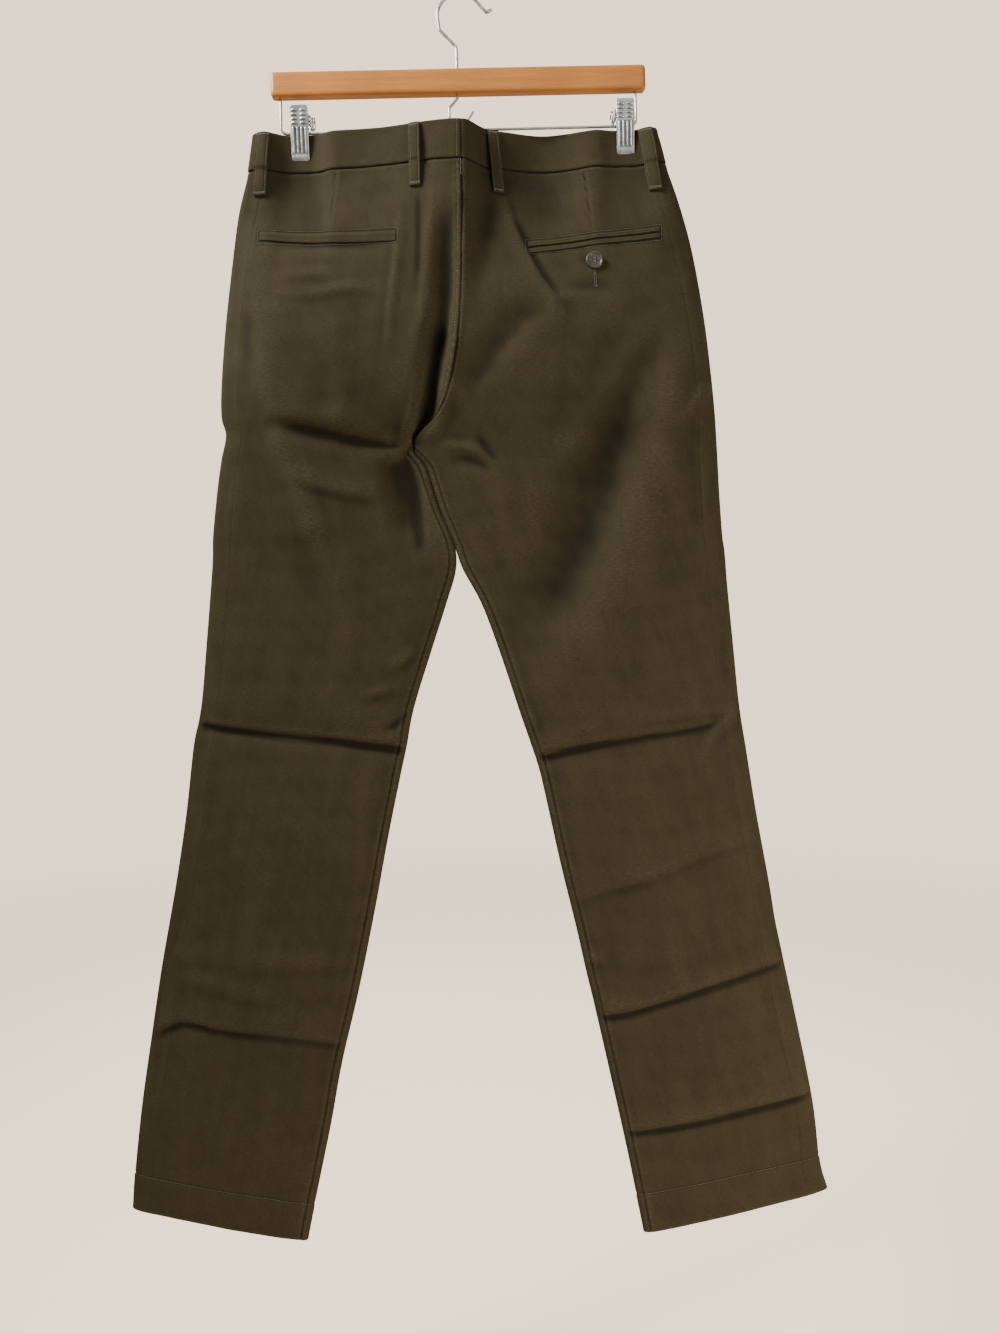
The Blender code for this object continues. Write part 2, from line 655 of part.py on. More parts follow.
# ---------------------------------------------------------------- hanger
def drill(obj, centre, radius, depth, turned=None):
    """Cuts a round hole through obj, centred on a point (m), along local Z."""
    bm = bmesh.new()
    bmesh.ops.create_cone(
        bm, cap_ends=True, segments=12, radius1=radius * MM, radius2=radius * MM,
        depth=depth * MM,
    )
    mesh = bpy.data.meshes.new("cutter")
    bm.to_mesh(mesh)
    bm.free()
    cutter = bpy.data.objects.new("cutter", mesh)
    bpy.data.collections["cutters"].objects.link(cutter)
    if turned is not None:
        cutter.matrix_world = turned
    cutter.location = centre
    cutter.hide_render = True
    cutter.display_type = "WIRE"
    cut = obj.modifiers.new("hole", "BOOLEAN")
    cut.operation = "DIFFERENCE"
    cut.solver = "EXACT"
    cut.object = cutter


def filleted(points, radius, steps=5):
    """A path through points (mm) whose inner corners are arcs of this radius."""
    points = [Vector(point) for point in points]
    path = [points[0]]
    for before, corner, after in zip(points, points[1:], points[2:]):
        back = (before - corner).normalized()
        ahead = (after - corner).normalized()
        half_angle = back.angle(ahead) / 2.0
        if half_angle > math.radians(89.0):
            path.append(corner)
            continue
        reach = min(radius / math.tan(half_angle), 0.45 * min(
            (before - corner).length, (after - corner).length))
        centre_step = (back + ahead).normalized() * reach / math.cos(half_angle)
        centre = corner + centre_step
        start, end = corner + back * reach - centre, corner + ahead * reach - centre
        sweep = start.angle(end)
        for step in range(steps + 1):
            share = step / steps
            mixed = (
                start * math.sin((1.0 - share) * sweep) + end * math.sin(share * sweep)
            ) / math.sin(sweep)
            path.append(centre + mixed)
    path.append(points[-1])
    return path


def wire(name, path, radius):
    """A round wire along a path (mm)."""
    curve = bpy.data.curves.new(name, "CURVE")
    curve.dimensions = "3D"
    spline = curve.splines.new("POLY")
    spline.points.add(len(path) - 1)
    for point, place in zip(spline.points, path):
        point.co = (*(Vector(place) * MM), 1.0)
    curve.bevel_depth = radius * MM
    curve.bevel_resolution = 2
    curve.use_fill_caps = True
    return new_object(name, curve, "metal")


def hanger_bar():
    bpy.ops.mesh.primitive_cube_add(size=1.0)
    obj = bpy.context.object
    obj.name = obj.data.name = "hanger_bar"
    for collection in list(obj.users_collection):
        collection.objects.unlink(obj)
    bpy.data.collections[COLLECTION].objects.link(obj)
    obj.data.transform(Matrix.Diagonal((*(Vector(BAR["size"]) * MM), 1.0)))
    obj.location = Vector(BAR["centre"]) * MM
    finish_as(obj, "wood")
    bevel = obj.modifiers.new("rounded", "BEVEL")
    bevel.width = BAR["round"] * MM
    bevel.segments = 3
    bottom = BAR["centre"][2] - BAR["size"][2] / 2
    drill(obj, Vector((STEM_X, 0.0, BAR["centre"][2])) * MM,
          HOOK_WIRE + SOCKET_GAP, 2 * BAR["size"][2])
    for x in (RAIL["left"], RAIL["right"]):
        drill(obj, Vector((x, 0.0, bottom)) * MM, RAIL_WIRE + SOCKET_GAP, 2 * SOCKET_DEPTH)


def hanger_hook():
    """A wire that rises out of the bar, cranks to the left and bends over in a hook
    with its tip turned out."""
    ring_z, radius = HOOK_RING["centre_z"], HOOK_RING["radius"]
    angles = np.radians(np.linspace(HOOK_RING["from_deg"], HOOK_RING["to_deg"], 20))
    ring = [(radius * math.cos(a), 0.0, ring_z + radius * math.sin(a)) for a in angles]
    stem = filleted(
        [(STEM_X, 0.0, BAR["centre"][2] + 0.5), (STEM_X, 0.0, -52.0),
         (-20.5, 0.0, -34.0), ring[0]], 5.0)
    tip = filleted([ring[-1], (27.0, 0.0, -18.0), (31.5, 0.0, -15.5)], 2.5)
    wire("hanger_hook", stem[:-1] + [Vector(p) for p in ring] + tip[1:], HOOK_WIRE)


def small_hook():
    """The same stem's lower end, which bends up into a small hook under the bar."""
    centre_x, centre_z = SMALL_HOOK["centre"]
    y, radius = SMALL_HOOK["y"], SMALL_HOOK["radius"]
    angles = np.radians(np.linspace(190.0, 330.0, 12))
    bowl = [
        Vector((centre_x + radius * math.cos(a), y, centre_z + radius * math.sin(a)))
        for a in angles
    ]
    stem = filleted(
        [(STEM_X, 0.0, BAR["centre"][2] - 0.5), (STEM_X, 0.0, -103.0),
         (centre_x - radius, y, -115.0), bowl[0]], 4.0)
    wire("small_hook", stem[:-1] + bowl + [Vector((11.5, y, -119.0))], RAIL_WIRE)


def clip_rail():
    """The wire that hangs under the bar and carries the clips."""
    top = BAR["centre"][2] - BAR["size"][2] / 2 + SOCKET_DEPTH - LAYER_GAP
    path = filleted(
        [(RAIL["left"], 0.0, top), (RAIL["left"], 0.0, RAIL["z_left"]),
         (RAIL["right"], 0.0, RAIL["z_right"]), (RAIL["right"], 0.0, top)],
        RAIL["corner"])
    wire("clip_rail", path, RAIL_WIRE)


def clip_jaw(name, x, front):
    """A pressed plate that leans in from the grip to the bite, with a lip down each
    side that dies out towards the bite."""
    rows = 8
    down = np.linspace(0.0, 1.0, rows)[:, None]
    z = JAW["top"] + (JAW["foot"] - JAW["top"]) * down
    y = -(JAW_Y["top"] + (JAW_Y["foot"] - JAW_Y["top"]) * down)
    lip = JAW["flange"] * np.clip(np.sin(math.pi * np.clip(down * 1.55, 0.0, 1.0)), 0.1, 1.0)
    half_width = JAW["width"] / 2 - JAW["wall"]
    columns_x = np.array([-1.0, -1.0, -0.33, 0.33, 1.0, 1.0]) * half_width
    columns_lip = np.array([1.0, 0.0, 0.0, 0.0, 0.0, 1.0])
    grid = np.stack(
        [columns_x + 0 * down, y + lip * columns_lip, z + 0 * columns_x], axis=-1)
    obj = cloth_sheet(name, grid, JAW["wall"])
    finish_as(obj, "metal")
    obj.location.x = x * MM
    obj.rotation_euler.z = 0.0 if front else math.pi


def clip_spring(name, x, inward):
    """A coil beside the jaws whose end runs on as the pin between them."""
    radius, turns = SPRING["radius"], SPRING["turns"]
    start = x + inward * (JAW["width"] / 2 + 1.2 + SPRING["pitch"] * turns)
    angles = np.linspace(0.0, 2 * math.pi * turns, int(10 * turns) + 1)
    coil = [
        Vector((start - inward * SPRING["pitch"] * a / (2 * math.pi),
                -radius * math.cos(a), SPRING["z"] + radius * math.sin(a)))
        for a in angles
    ]
    end_x = coil[-1].x
    pin = [(end_x, -radius * 0.5, SPRING["z"]), (end_x - inward * 1.2, 0.0, SPRING["z"]),
           (x - inward * JAW["width"] / 2, 0.0, SPRING["z"])]
    wire(name, coil + pin, SPRING["wire"])


# ---------------------------------------------------------------- assembly
def clear_scene():
    for obj in list(bpy.data.objects):
        bpy.data.objects.remove(obj, do_unlink=True)
    for name in (COLLECTION, "cutters"):
        bpy.context.scene.collection.children.link(bpy.data.collections.new(name))
    bpy.data.collections["cutters"].hide_render = True


def main():
    clear_scene()
    for half in ("left", "right"):
        leg_panel("back_panel_", half, seat_turns)
        leg_panel("front_panel_", half, fly_turns)
        waistband(half)
        hem(half)
    for row in LOOPS:
        belt_loop(**dict(zip(LOOP_COLUMNS, row)))
    for row in PATCHES:
        patch(**dict(zip(PATCH_COLUMNS, row)))
    button("back_pocket_button", "right", "seat", BACK_BUTTON_AT, 0.0)
    button("waist_button", "right", "fly", WAIST_BUTTON_AT,
           WAISTBAND_LIFT + FLY_TAB["lift"])
    hanger_bar()
    hanger_hook()
    small_hook()
    clip_rail()
    for place, x, inward in (("left", CLIP_X[0], 1), ("right", CLIP_X[1], -1)):
        clip_jaw(f"clip_{place}_outer_jaw", x, front=True)
        clip_jaw(f"clip_{place}_wall_jaw", x, front=False)
        clip_spring(f"clip_{place}_spring", x, inward)


main()
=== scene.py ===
"""Chino trousers hung by the waistband from a wooden clip hanger: the pieces that show.

Frame: metres, +Z up, the seat side of the trousers towards -Y and the fly towards +Y,
the wearer's left towards -X. Lengths below are in millimetres until MM turns them into
metres. Each half of the trousers is a flattened ring of cloth at every level from the
top of the waistband to the hem: a level is a row of OUTLINES and of SECTIONS, and a
"place" on the ring runs from -closure at its inner edge to 1 at its folded side, on the
seat side or on the fly side.
"""
import math

import bpy
import numpy as np
from mathutils import Matrix, Vector


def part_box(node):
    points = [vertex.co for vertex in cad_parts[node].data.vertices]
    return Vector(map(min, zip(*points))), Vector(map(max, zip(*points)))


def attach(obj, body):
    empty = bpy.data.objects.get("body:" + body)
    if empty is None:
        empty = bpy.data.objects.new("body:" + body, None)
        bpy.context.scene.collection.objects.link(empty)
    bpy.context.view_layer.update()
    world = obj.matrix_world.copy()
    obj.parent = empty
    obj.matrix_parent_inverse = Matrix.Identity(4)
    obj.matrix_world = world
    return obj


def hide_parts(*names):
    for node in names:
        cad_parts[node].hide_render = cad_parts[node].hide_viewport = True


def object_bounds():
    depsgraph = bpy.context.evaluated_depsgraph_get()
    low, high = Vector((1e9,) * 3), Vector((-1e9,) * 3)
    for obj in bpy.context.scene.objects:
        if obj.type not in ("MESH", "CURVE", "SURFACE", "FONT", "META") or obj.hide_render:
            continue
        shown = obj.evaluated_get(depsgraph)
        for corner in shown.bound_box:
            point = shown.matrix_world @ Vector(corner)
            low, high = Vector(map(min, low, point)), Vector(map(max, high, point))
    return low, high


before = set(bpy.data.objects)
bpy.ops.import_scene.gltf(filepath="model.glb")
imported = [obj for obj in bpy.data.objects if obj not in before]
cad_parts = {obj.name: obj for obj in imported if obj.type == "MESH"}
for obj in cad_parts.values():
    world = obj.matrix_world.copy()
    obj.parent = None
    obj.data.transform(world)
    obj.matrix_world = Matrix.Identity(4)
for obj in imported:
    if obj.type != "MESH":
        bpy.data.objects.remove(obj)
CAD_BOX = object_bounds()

bl_info = {
    "name": "Chino trousers on a clip hanger",
    "version": (1, 0, 0),
    "blender": (4, 5, 0),
    "location": "3D View > Sidebar > Chinos",
    "description": "Twill chinos with sewn details, and the wooden clip hanger they hang from",
    "category": "Object",
}

MM = 0.001
BODY = "root"

RING_POWER = 2.5
FOLD_RADIUS = 2.6
OUTSEAM_INSET = 18.0
INSEAM_INSET = 5.0
BAND_WALL = 2.2

# Every level's flattened outline, seen from the seat side: the folded side and the
# inner edge (the centre seam, the crotch point, then the inner fold of the leg).
LEVELS = (
    "band_top", "band_seam", "hip", "pocket", "seat", "low_seat", "rise", "crotch",
    "fork", "upper_thigh", "fork_end", "gap_top", "thigh", "mid_thigh", "above_knee",
    "knee", "below_knee", "calf", "low_calf", "shin", "ankle_fold", "low_fold",
    "hem_stitch", "hem",
)
OUTLINE_COLUMNS = ("side_x", "side_z", "inner_x", "inner_z")
OUTLINES = {
    "left": (
        (-207, -138, 0, -139),
        (-213, -175, -1, -177),
        (-224, -216, -1, -219),
        (-232, -265, -2, -267),
        (-240, -328, -5, -328),
        (-245, -383, -14, -384),
        (-246, -417, -26, -418),
        (-242, -436, -55.9, -449),
        (-247, -460, -42.0, -474),
        (-252, -492, -30.5, -512),
        (-257, -535, -16.4, -548),
        (-258, -560, -15, -574),
        (-261, -594, -25, -607),
        (-266, -645, -42, -657),
        (-271, -695, -60, -712),
        (-275, -719, -68, -750),
        (-281, -746, -75, -780),
        (-290, -815, -89, -843),
        (-302, -886, -103, -912),
        (-317, -963, -121, -993),
        (-329, -1034, -139, -1064),
        (-340, -1103, -152, -1128),
        (-348, -1168, -169, -1203),
        (-351, -1204, -177, -1240),
    ),
    "right": (
        (193, -140, 0, -139),
        (202, -175, -1, -177),
        (216, -217, -1, -219),
        (228, -264, -2, -267),
        (238, -328, -5, -328),
        (244, -386, -14, -384),
        (247, -425, -26, -418),
        (248, -447, -55.9, -449),
        (249, -475, -42.2, -474),
        (250, -505, -30.8, -512),
        (252, -545, -16.8, -548),
        (254, -562, -8, -574),
        (256, -596, 10, -609),
        (260, -648, 27, -657),
        (264, -701, 46, -718),
        (267, -729, 62, -768),
        (271, -757, 69, -798),
        (280, -822, 83, -868),
        (291, -890, 98, -935),
        (297, -932, 107, -979),
        (304, -969, 116, -1020),
        (329, -1103, 141, -1142),
        (336, -1171, 153, -1206),
        (343, -1199, 159, -1239),
    ),
}
# How the ring stands off the hanger's plane at each level: how far the inner edge is
# closed (0 open, 1 a fold), the depth of the seat side and of the fly side, where the
# middle of the ring lies at its inner edge and at its side, and how much lower than
# the seat side the fly side is cut at the centre.
SECTION_COLUMNS = ("closure", "seat_depth", "fly_depth", "inner_y", "side_y", "fly_drop")
SECTIONS = (
    (0.00, 9.0, 15.0, 0.0, -4.0, 32.0),
    (0.00, 9.0, 15.0, 0.0, -4.0, 32.0),
    (0.00, 14.0, 16.0, -2.0, -2.0, 27.0),
    (0.00, 20.0, 17.0, -4.0, 0.0, 19.0),
    (0.00, 25.0, 17.0, -4.0, 0.0, 10.0),
    (0.40, 24.0, 17.0, -3.0, 0.0, 4.0),
    (0.75, 21.0, 16.0, -1.0, 0.0, 0.0),
    (1.00, 17.0, 15.0, 0.0, 0.0, 0.0),
    (1.00, 15.0, 14.0, 0.0, 0.0, 0.0),
    (1.00, 14.0, 13.0, 0.0, 0.0, 0.0),
    (1.00, 13.0, 12.5, 0.0, 0.0, 0.0),
    (1.00, 12.5, 12.0, 0.0, 0.0, 0.0),
    (1.00, 12.0, 12.0, 0.0, 0.0, 0.0),
    (1.00, 11.5, 11.5, 0.0, 0.0, 0.0),
    (1.00, 11.5, 11.0, 0.0, 0.0, 0.0),
    (1.00, 8.5, 10.5, 0.0, 0.0, 0.0),
    (1.00, 11.0, 10.5, 0.0, 0.0, 0.0),
    (1.00, 10.5, 10.0, 0.0, 0.0, 0.0),
    (1.00, 10.0, 10.0, 0.0, 0.0, 0.0),
    (1.00, 10.0, 9.5, 0.0, 0.0, 0.0),
    (1.00, 8.0, 9.5, 0.0, 0.0, 0.0),
    (1.00, 9.5, 9.0, 0.0, 0.0, 0.0),
    (1.00, 9.0, 9.0, 0.0, 0.0, 0.0),
    (1.00, 9.5, 9.5, 0.0, 0.0, 0.0),
)

# The largest folds by half and side: a straight trough (or, with a negative depth, a
# ridge) as the x and z it starts from, the x and z it ends at, its spread and depth.
FOLDS = {
    ("left", "seat"): (
        (-186, -432, -64, -450, 11, 2.5),
        (-29, -350, -42, -432, 11, 11.0),
        (-220, -367, -160, -530, 16, -4.0),
    ),
    ("right", "seat"): (
        (22, -225, 16, -285, 15, 3.2),
        (172, -366, 92, -600, 30, 6.5),
        (174, -353, 108, -462, 15, -4.0),
    ),
    ("left", "fly"): (
        (-190, -250, -110, -450, 20, 5.0),
        (-215, -560, -90, -600, 16, 3.0),
    ),
    ("right", "fly"): (
        (170, -240, 95, -420, 18, 5.5),
        (220, -600, 60, -640, 17, 3.5),
    ),
}
FOLD_EDGE_FADE = 14.0

# The waistband stands out in a ridge at the centre back and dips beside it, and the
# clips pinch it flat. All three die away down the seat.
RIDGE = {"height": 20.0, "spread_left": 66.0, "spread_right": 17.0, "power": 2.3}
DIP = {"x": 85.0, "depth": 17.0, "spread": 48.0, "fly_share": 0.4}
WAIST_FADE = 90.0
CLIP_X = (-161.0, 163.0)
PINCH = {"half_width": 26.0, "reach": 70.0, "y": 1.6, "below_z": -164.0}


# What the clips, the seams and the hem need
LAST = len(LEVELS) - 1
CROTCH = LEVELS.index("crotch")
HEM_HEIGHT = 36.0
SEAM_HALF = 0.02
EDGE_RUN = np.array([0.0, 0.4, 0.9, 1.6, 2.5, 3.6, 5.0, 6.8, 9.0])
FOLD_RUN = np.array([0.0, 0.02, 0.08, 0.2, 0.4, 0.75, 1.3, 2.1, 3.2, 4.7, 6.6, 9.0])
TUCK_RUN = np.array([0.02, 0.08, 0.2, 0.4, 0.75, 1.3, 2.1, 2.8, 3.4, 4.1, 4.6, 5.0])
CENTRE_STITCH = 3.8
FLY_TAB = {"reach": 32.0, "ramp": 20.0, "lift": 2.6}
BAND_LIFT = 1.1

# Broad waves of the hung cloth: length, direction in degrees and height
WAVES = (
    (173.0, 82.0, 0.50), (97.0, 12.0, 0.28), (61.0, 64.0, 0.20), (43.0, -31.0, 0.11),
    (27.0, 96.0, 0.07), (19.0, 38.0, 0.04),
)

# Creases by half and side: how wide each is above (on the left hand of its path) and
# below, and its path as (x, z, height), ridges outward and troughs below nought
CREASES = {
    ("left", "seat"): (
        (7, 5, ((-192, -257, 0), (-149, -254, -1.1), (-100, -257, -0.9), (-72, -259, 0))),
        (9, 5, ((-192, -287, 0), (-149, -283, 1), (-120, -287, 0))),
        (9, 5, ((-192, -302, 0), (-150, -304, 1.1), (-113, -299, 1.2), (-70, -304, 0))),
        # left half, seat: upright folds beside the centre seam
        (5, 4, ((-61, -222, 0), (-64, -250, 0.9), (-72, -320, 1), (-78, -380, 0))),
        (2.5, 3, ((-43, -203, 0), (-43, -225, -0.9), (-44, -270, -0.8), (-47, -305, 0))),
        (9, 6, ((-27, -196, 0), (-30, -225, 1.3), (-36, -290, 1.5), (-44, -350, 1),
                (-48, -372, 0))),
        (6, 12, ((-12, -224, 0), (-15, -256, -3), (-17, -310, -5.2), (-26, -369, -3.4),
                 (-38, -415, -1.5), (-46, -440, 0))),
        (16, 20, ((-68, -455, 0), (-64, -478, -8), (-58, -515, -8.5), (-50, -550, -3),
                  (-58, -600, 0))),
        (12, 14, ((-128, -315, 0), (-129, -350, 0.8), (-124, -434, 0.8), (-122, -445, 0))),
        # left half, seat: the flank's ridge and what gathers at the crotch
        (44, 17, ((-208, -215, 0), (-205, -262, 3), (-197, -330, 4.5), (-184, -420, 5.5),
                  (-160, -500, 5), (-138, -565, 4), (-120, -630, 2), (-112, -690, 0))),
        (5, 7, ((-32, -340, 0), (-43, -386, 2.5), (-59, -443, 3), (-74, -470, 0))),
        (5, 9, ((-30, -372, 0), (-36, -420, -3.5), (-54, -447, -4), (-66, -462, 0))),
        (4, 8, ((-200, -429, 0), (-153, -437, -1.3), (-117, -445, -1.7), (-67, -453, -1.1),
                (-58, -455, 0))),
        (18, 5, ((-196, -420, 0), (-153, -428, 2.2), (-110, -437, 2.5), (-72, -444, 0))),
        (14, 5, ((-180, -480, 0), (-149, -490, 1.7), (-109, -499, 1.5), (-84, -503, 0))),
        (5, 7, ((-41, -468, 0), (-40, -490, 1), (-43, -521, 1), (-44, -545, 0))),
        (7, 6, ((-57, -470, 0), (-52, -500, -2.5), (-50, -538, -2.2), (-52, -562, 0))),
        # left half, seat: knee, calf and shin
        (34, 3, ((-300, -715, 1), (-272, -719, 1.9), (-244, -724, 2), (-178, -733, 1.5),
                 (-102, -743, 2.2), (-50, -752, 1.5))),
        (1.8, 6, ((-290, -721, -0.6), (-244, -728, -1.8), (-178, -737, -1.3),
                  (-102, -747, -2.2), (-50, -756, -1))),
        (7, 4, ((-84, -675, 0), (-70, -664, 1.6), (-54, -652, 0))),
        (7, 4, ((-112, -699, 0), (-95, -695, 1.2), (-72, -688, 0))),
        (4, 5, ((-92, -735, 0), (-77, -727, -1.4), (-63, -714, 0))),
        (26, 5, ((-340, -1030, 2), (-322, -1026, 2.6), (-295, -1014, 1.6), (-261, -1022, 1.8),
                 (-202, -1031, 1.2), (-130, -1042, 1.2))),
        (1.8, 6, ((-330, -1031, -1.2), (-295, -1019, -1.2), (-261, -1027, -1),
                  (-202, -1035, -0.6), (-130, -1046, -0.5))),
        (14, 8, ((-300, -970, 0), (-284, -974, 1.3), (-222, -991, 1), (-190, -1000, 0))),
        (16, 9, ((-305, -947, 0), (-291, -950, 1), (-207, -960, 0.9), (-118, -960, 0.5))),
        (22, 26, ((-205, -760, 0), (-216, -850, 1.3), (-232, -950, 1.2), (-243, -1000, 0))),
    ),
    ("right", "seat"): (
        # right half, seat: from the pocket's end down to the crotch
        (2.6, 15, ((40, -200, 0), (45, -222, 1.4), (53, -246, 2), (72, -288, 2.1),
                   (88, -314, 1.4), (103, -340, 0))),
        (7, 2.5, ((50, -228, 0), (58, -247, -0.8), (76, -287, -0.9), (92, -314, 0))),
        (9, 9, ((96, -306, 0), (120, -301, -1.1), (152, -300, 0))),
        (14, 5, ((85, -314, 0), (107, -311, 1), (130, -314, 0))),
        (13, 17, ((86, -326, 0), (62, -328, -2.2), (34, -356, -2.8), (7, -391, -1.8),
                  (-6, -405, 0))),
        (36, 28, ((228, -270, 0), (218, -330, 2.2), (206, -400, 3.6), (186, -480, 3.6),
                  (152, -560, 3.2), (112, -640, 2.2), (90, -700, 0))),
        (26, 44, ((128, -330, 0), (150, -400, -2.5), (138, -470, -4), (108, -545, -4.8),
                  (66, -620, -4.2), (34, -690, 0))),
        (7, 6, ((-21, -384, 0), (-25, -421, 1.6), (-34, -438, 1.8), (-50, -446, 0))),
        (5, 5, ((-30, -452, 0), (-8, -454, 1.2), (12, -461, 1.2), (27, -474, 0))),
        (5, 7, ((-24, -466, 0), (-4, -467, -1.2), (14, -473, -0.9), (24, -482, 0))),
        (4, 5, ((8, -441, 0), (18, -456, -1.3), (29, -471, 0))),
        (10, 6, ((246, -396, 0), (235, -402, 1.6), (220, -423, 1.2), (204, -445, 0))),
        (26, 30, ((178, -520, 0), (170, -570, 1.2), (160, -640, 1.2), (158, -690, 0))),
        # right half, seat: knee, calf and shin
        (30, 3, ((40, -760, 1), (65, -758, 2), (103, -750, 1.8), (140, -744, 1.3),
                 (194, -738, 1.2), (221, -733, 1.2), (252, -726, 0))),
        (1.8, 6, ((44, -765, -0.6), (65, -763, -1.8), (103, -754, -1.4), (150, -747, -0.9),
                  (221, -737, -0.6), (240, -732, 0))),
        (9, 5, ((90, -742, 0), (113, -736, 1), (130, -732, 0))),
        (8, 5, ((150, -731, 0), (200, -724, 0.8), (268, -719, 1))),
        (5, 4, ((44, -708, 0), (55, -722, 1.5), (60, -738, 0))),
        (7, 5, ((275, -712, 1.8), (258, -724, 1.8), (234, -748, 1.2), (218, -782, 0))),
        (26, 6, ((92, -902, 1), (147, -887, 1.4), (195, -871, 1.2), (221, -861, 1.2),
                 (275, -845, 0.6))),
        (24, 4, ((104, -1022, 2), (115, -1018, 2.4), (156, -1012, 2), (216, -994, 1.8),
                 (260, -982, 1.6), (306, -966, 1.2))),
        (1.8, 6, ((104, -1027, -1.3), (156, -1016, -1.2), (216, -998, -1), (300, -971, -0.8))),
        (8, 5, ((98, -958, 0), (112, -964, 1.5), (128, -966, 0))),
        (20, 3.5, ((130, -1137, 1.3), (187, -1129, 1.7), (244, -1117, 1.6), (292, -1107, 1.6),
                   (334, -1096, 1.2))),
        (1.8, 6, ((130, -1141, -1), (187, -1132, -1.2), (244, -1121, -1.1), (334, -1100, -1))),
        (22, 26, ((158, -790, 0), (176, -880, 1.3), (200, -990, 1.2), (222, -1080, 0))),
    ),
    ("left", "fly"): (
        # the fly side: drag lines at the pockets and the crotch, then knees and shins
        (12, 6, ((-178, -345, 0), (-130, -372, 1.8), (-76, -412, 2.2), (-40, -440, 0))),
        (12, 6, ((-206, -420, 0), (-150, -437, 1.6), (-90, -455, 2), (-50, -462, 0))),
        (9, 7, ((-66, -330, 0), (-52, -372, 1.6), (-34, -410, 1.6), (-22, -425, 0))),
        (28, 4, ((-296, -741, 1.4), (-240, -739, 2.2), (-170, -744, 1.6), (-60, -757, 2))),
        (1.8, 6, ((-290, -745, -0.8), (-240, -743, -1.4), (-170, -748, -1), (-60, -761, -1))),
        (22, 6, ((-330, -935, 0.8), (-262, -944, 1.5), (-190, -951, 1.2), (-112, -958, 0.8))),
        (24, 5, ((-342, -1066, 1.6), (-280, -1060, 1.6), (-210, -1070, 1.2), (-136, -1078, 1))),
        (24, 26, ((-176, -480, 0), (-190, -600, 1.4), (-214, -760, 1.5), (-250, -980, 0))),
    ),
    ("right", "fly"): (
        (12, 6, ((172, -350, 0), (126, -380, 1.9), (72, -418, 2.3), (34, -444, 0))),
        (12, 6, ((214, -430, 0), (150, -446, 1.5), (88, -462, 1.8), (30, -474, 0))),
        (9, 7, ((44, -332, 0), (33, -372, 1.5), (12, -412, 1.5), (2, -425, 0))),
        (28, 4, ((36, -738, 1.6), (110, -728, 1.8), (190, -722, 2.2), (280, -716, 1.4))),
        (1.8, 6, ((40, -742, -1), (110, -732, -1), (190, -726, -1.4), (276, -720, -0.8))),
        (22, 6, ((86, -872, 0.8), (150, -862, 1.4), (214, -850, 1.3), (284, -838, 0.8))),
        (24, 5, ((106, -1040, 1.2), (180, -1028, 1.6), (250, -1010, 1.5), (318, -992, 1))),
        (24, 26, ((150, -490, 0), (170, -620, 1.4), (190, -780, 1.4), (236, -1010, 0))),
    ),
}

# Where the back pockets' welts press the cloth: upper corners and how tall each field is
WELT_FIELDS = (
    ("left", ((-201, -238.5), (-66, -243.5), 10.5)),
    ("right", ((63, -253.0), (194, -240.0), 12.0)),
)
# The darts above them, from the waistband's seam to the pocket
DARTS = (
    ("left", (-125, -180), (-134, -238)),
    ("right", (121, -180), (126, -243)),
)
# Belt loops: half, side, the x of their middle at the waistband's top and at their
# lower end, and their width.
LOOPS = (
    ("belt_loop_back_left", "left", "seat", -46, -46, 11.0),
    ("belt_loop_back_right", "right", "seat", 31, 36, 11.0),
    ("belt_loop_side_left", "left", "seat", -195, -201, 13.0),
    ("belt_loop_side_right", "right", "seat", 181, 191, 13.0),
    ("belt_loop_front_left", "left", "fly", -92, -94, 11.0),
    ("belt_loop_front_right", "right", "fly", 88, 90, 11.0),
)
# Pieces that lie on a panel: four corners, from the upper left round to the lower
# left as seen from the side they are on.
PATCHES = (
    ("back_pocket_welt_left", "left", "seat",
     ((-201, -238), (-66, -244), (-66, -255), (-201, -248))),
    ("back_pocket_upper_welt_right", "right", "seat",
     ((63, -253), (194, -240), (194, -245), (63, -259))),
    ("back_pocket_lower_welt_right", "right", "seat",
     ((63, -260.5), (194, -246.5), (194, -251.5), (63, -266))),
    ("front_pocket_edge_left", "left", "fly",
     ((-172, -190), (-160, -192), (-209, -328), (-220, -324))),
    ("front_pocket_edge_right", "right", "fly",
     ((150, -194), (162, -192), (214, -322), (203, -326))),
    ("fly_placket", "left", "fly",
     ((-42, -207), (-6, -210.5), (-16, -366), (-34, -350))),
)
# The x and z of the buttonhole's two ends under the right back pocket, and of the bar
# tack where the four panels meet; how far outside a pocket its stitching runs
BUTTONHOLE = ((128.2, -285.0), (128.9, -301.5))
CROTCH_TACK = (-55.9, -449.0)
WELT_STITCH_OUT = 1.9
LOOP_DROP = 62.0
LOOP_TOP_DROP = 1.0
LOOP_LIFT = 0.6
LOOP_BOW = 2.6
LOOP_WALL = 1.5
LOOP_STITCH = 1.9

BUTTON = {"radius": 8.4, "thickness": 2.6, "rim": 1.9, "dish": 0.95, "hole": 1.0,
          "hole_offset": 1.75}

# The hanger's wires
HOOK_WIRE = 1.6
HOOK_RING = {"centre_z": -20.4, "radius": 22.0, "from_deg": 196.0, "to_deg": 38.0}
STEM_X = -3.5
RAIL_WIRE = 1.3
RAIL = {"left": -180.5, "right": 174.3, "z_left": -135.6, "z_right": -134.4, "corner": 6.5}
SMALL_HOOK = {"y": -3.6, "radius": 10.0, "centre": (-2.0, -121.5)}
JAW_Y = {"foot": 3.6, "top": 9.8}
SPRING = {"z": -126.0, "radius": 5.6, "wire": 0.8, "turns": 2.0, "pitch": 1.9}

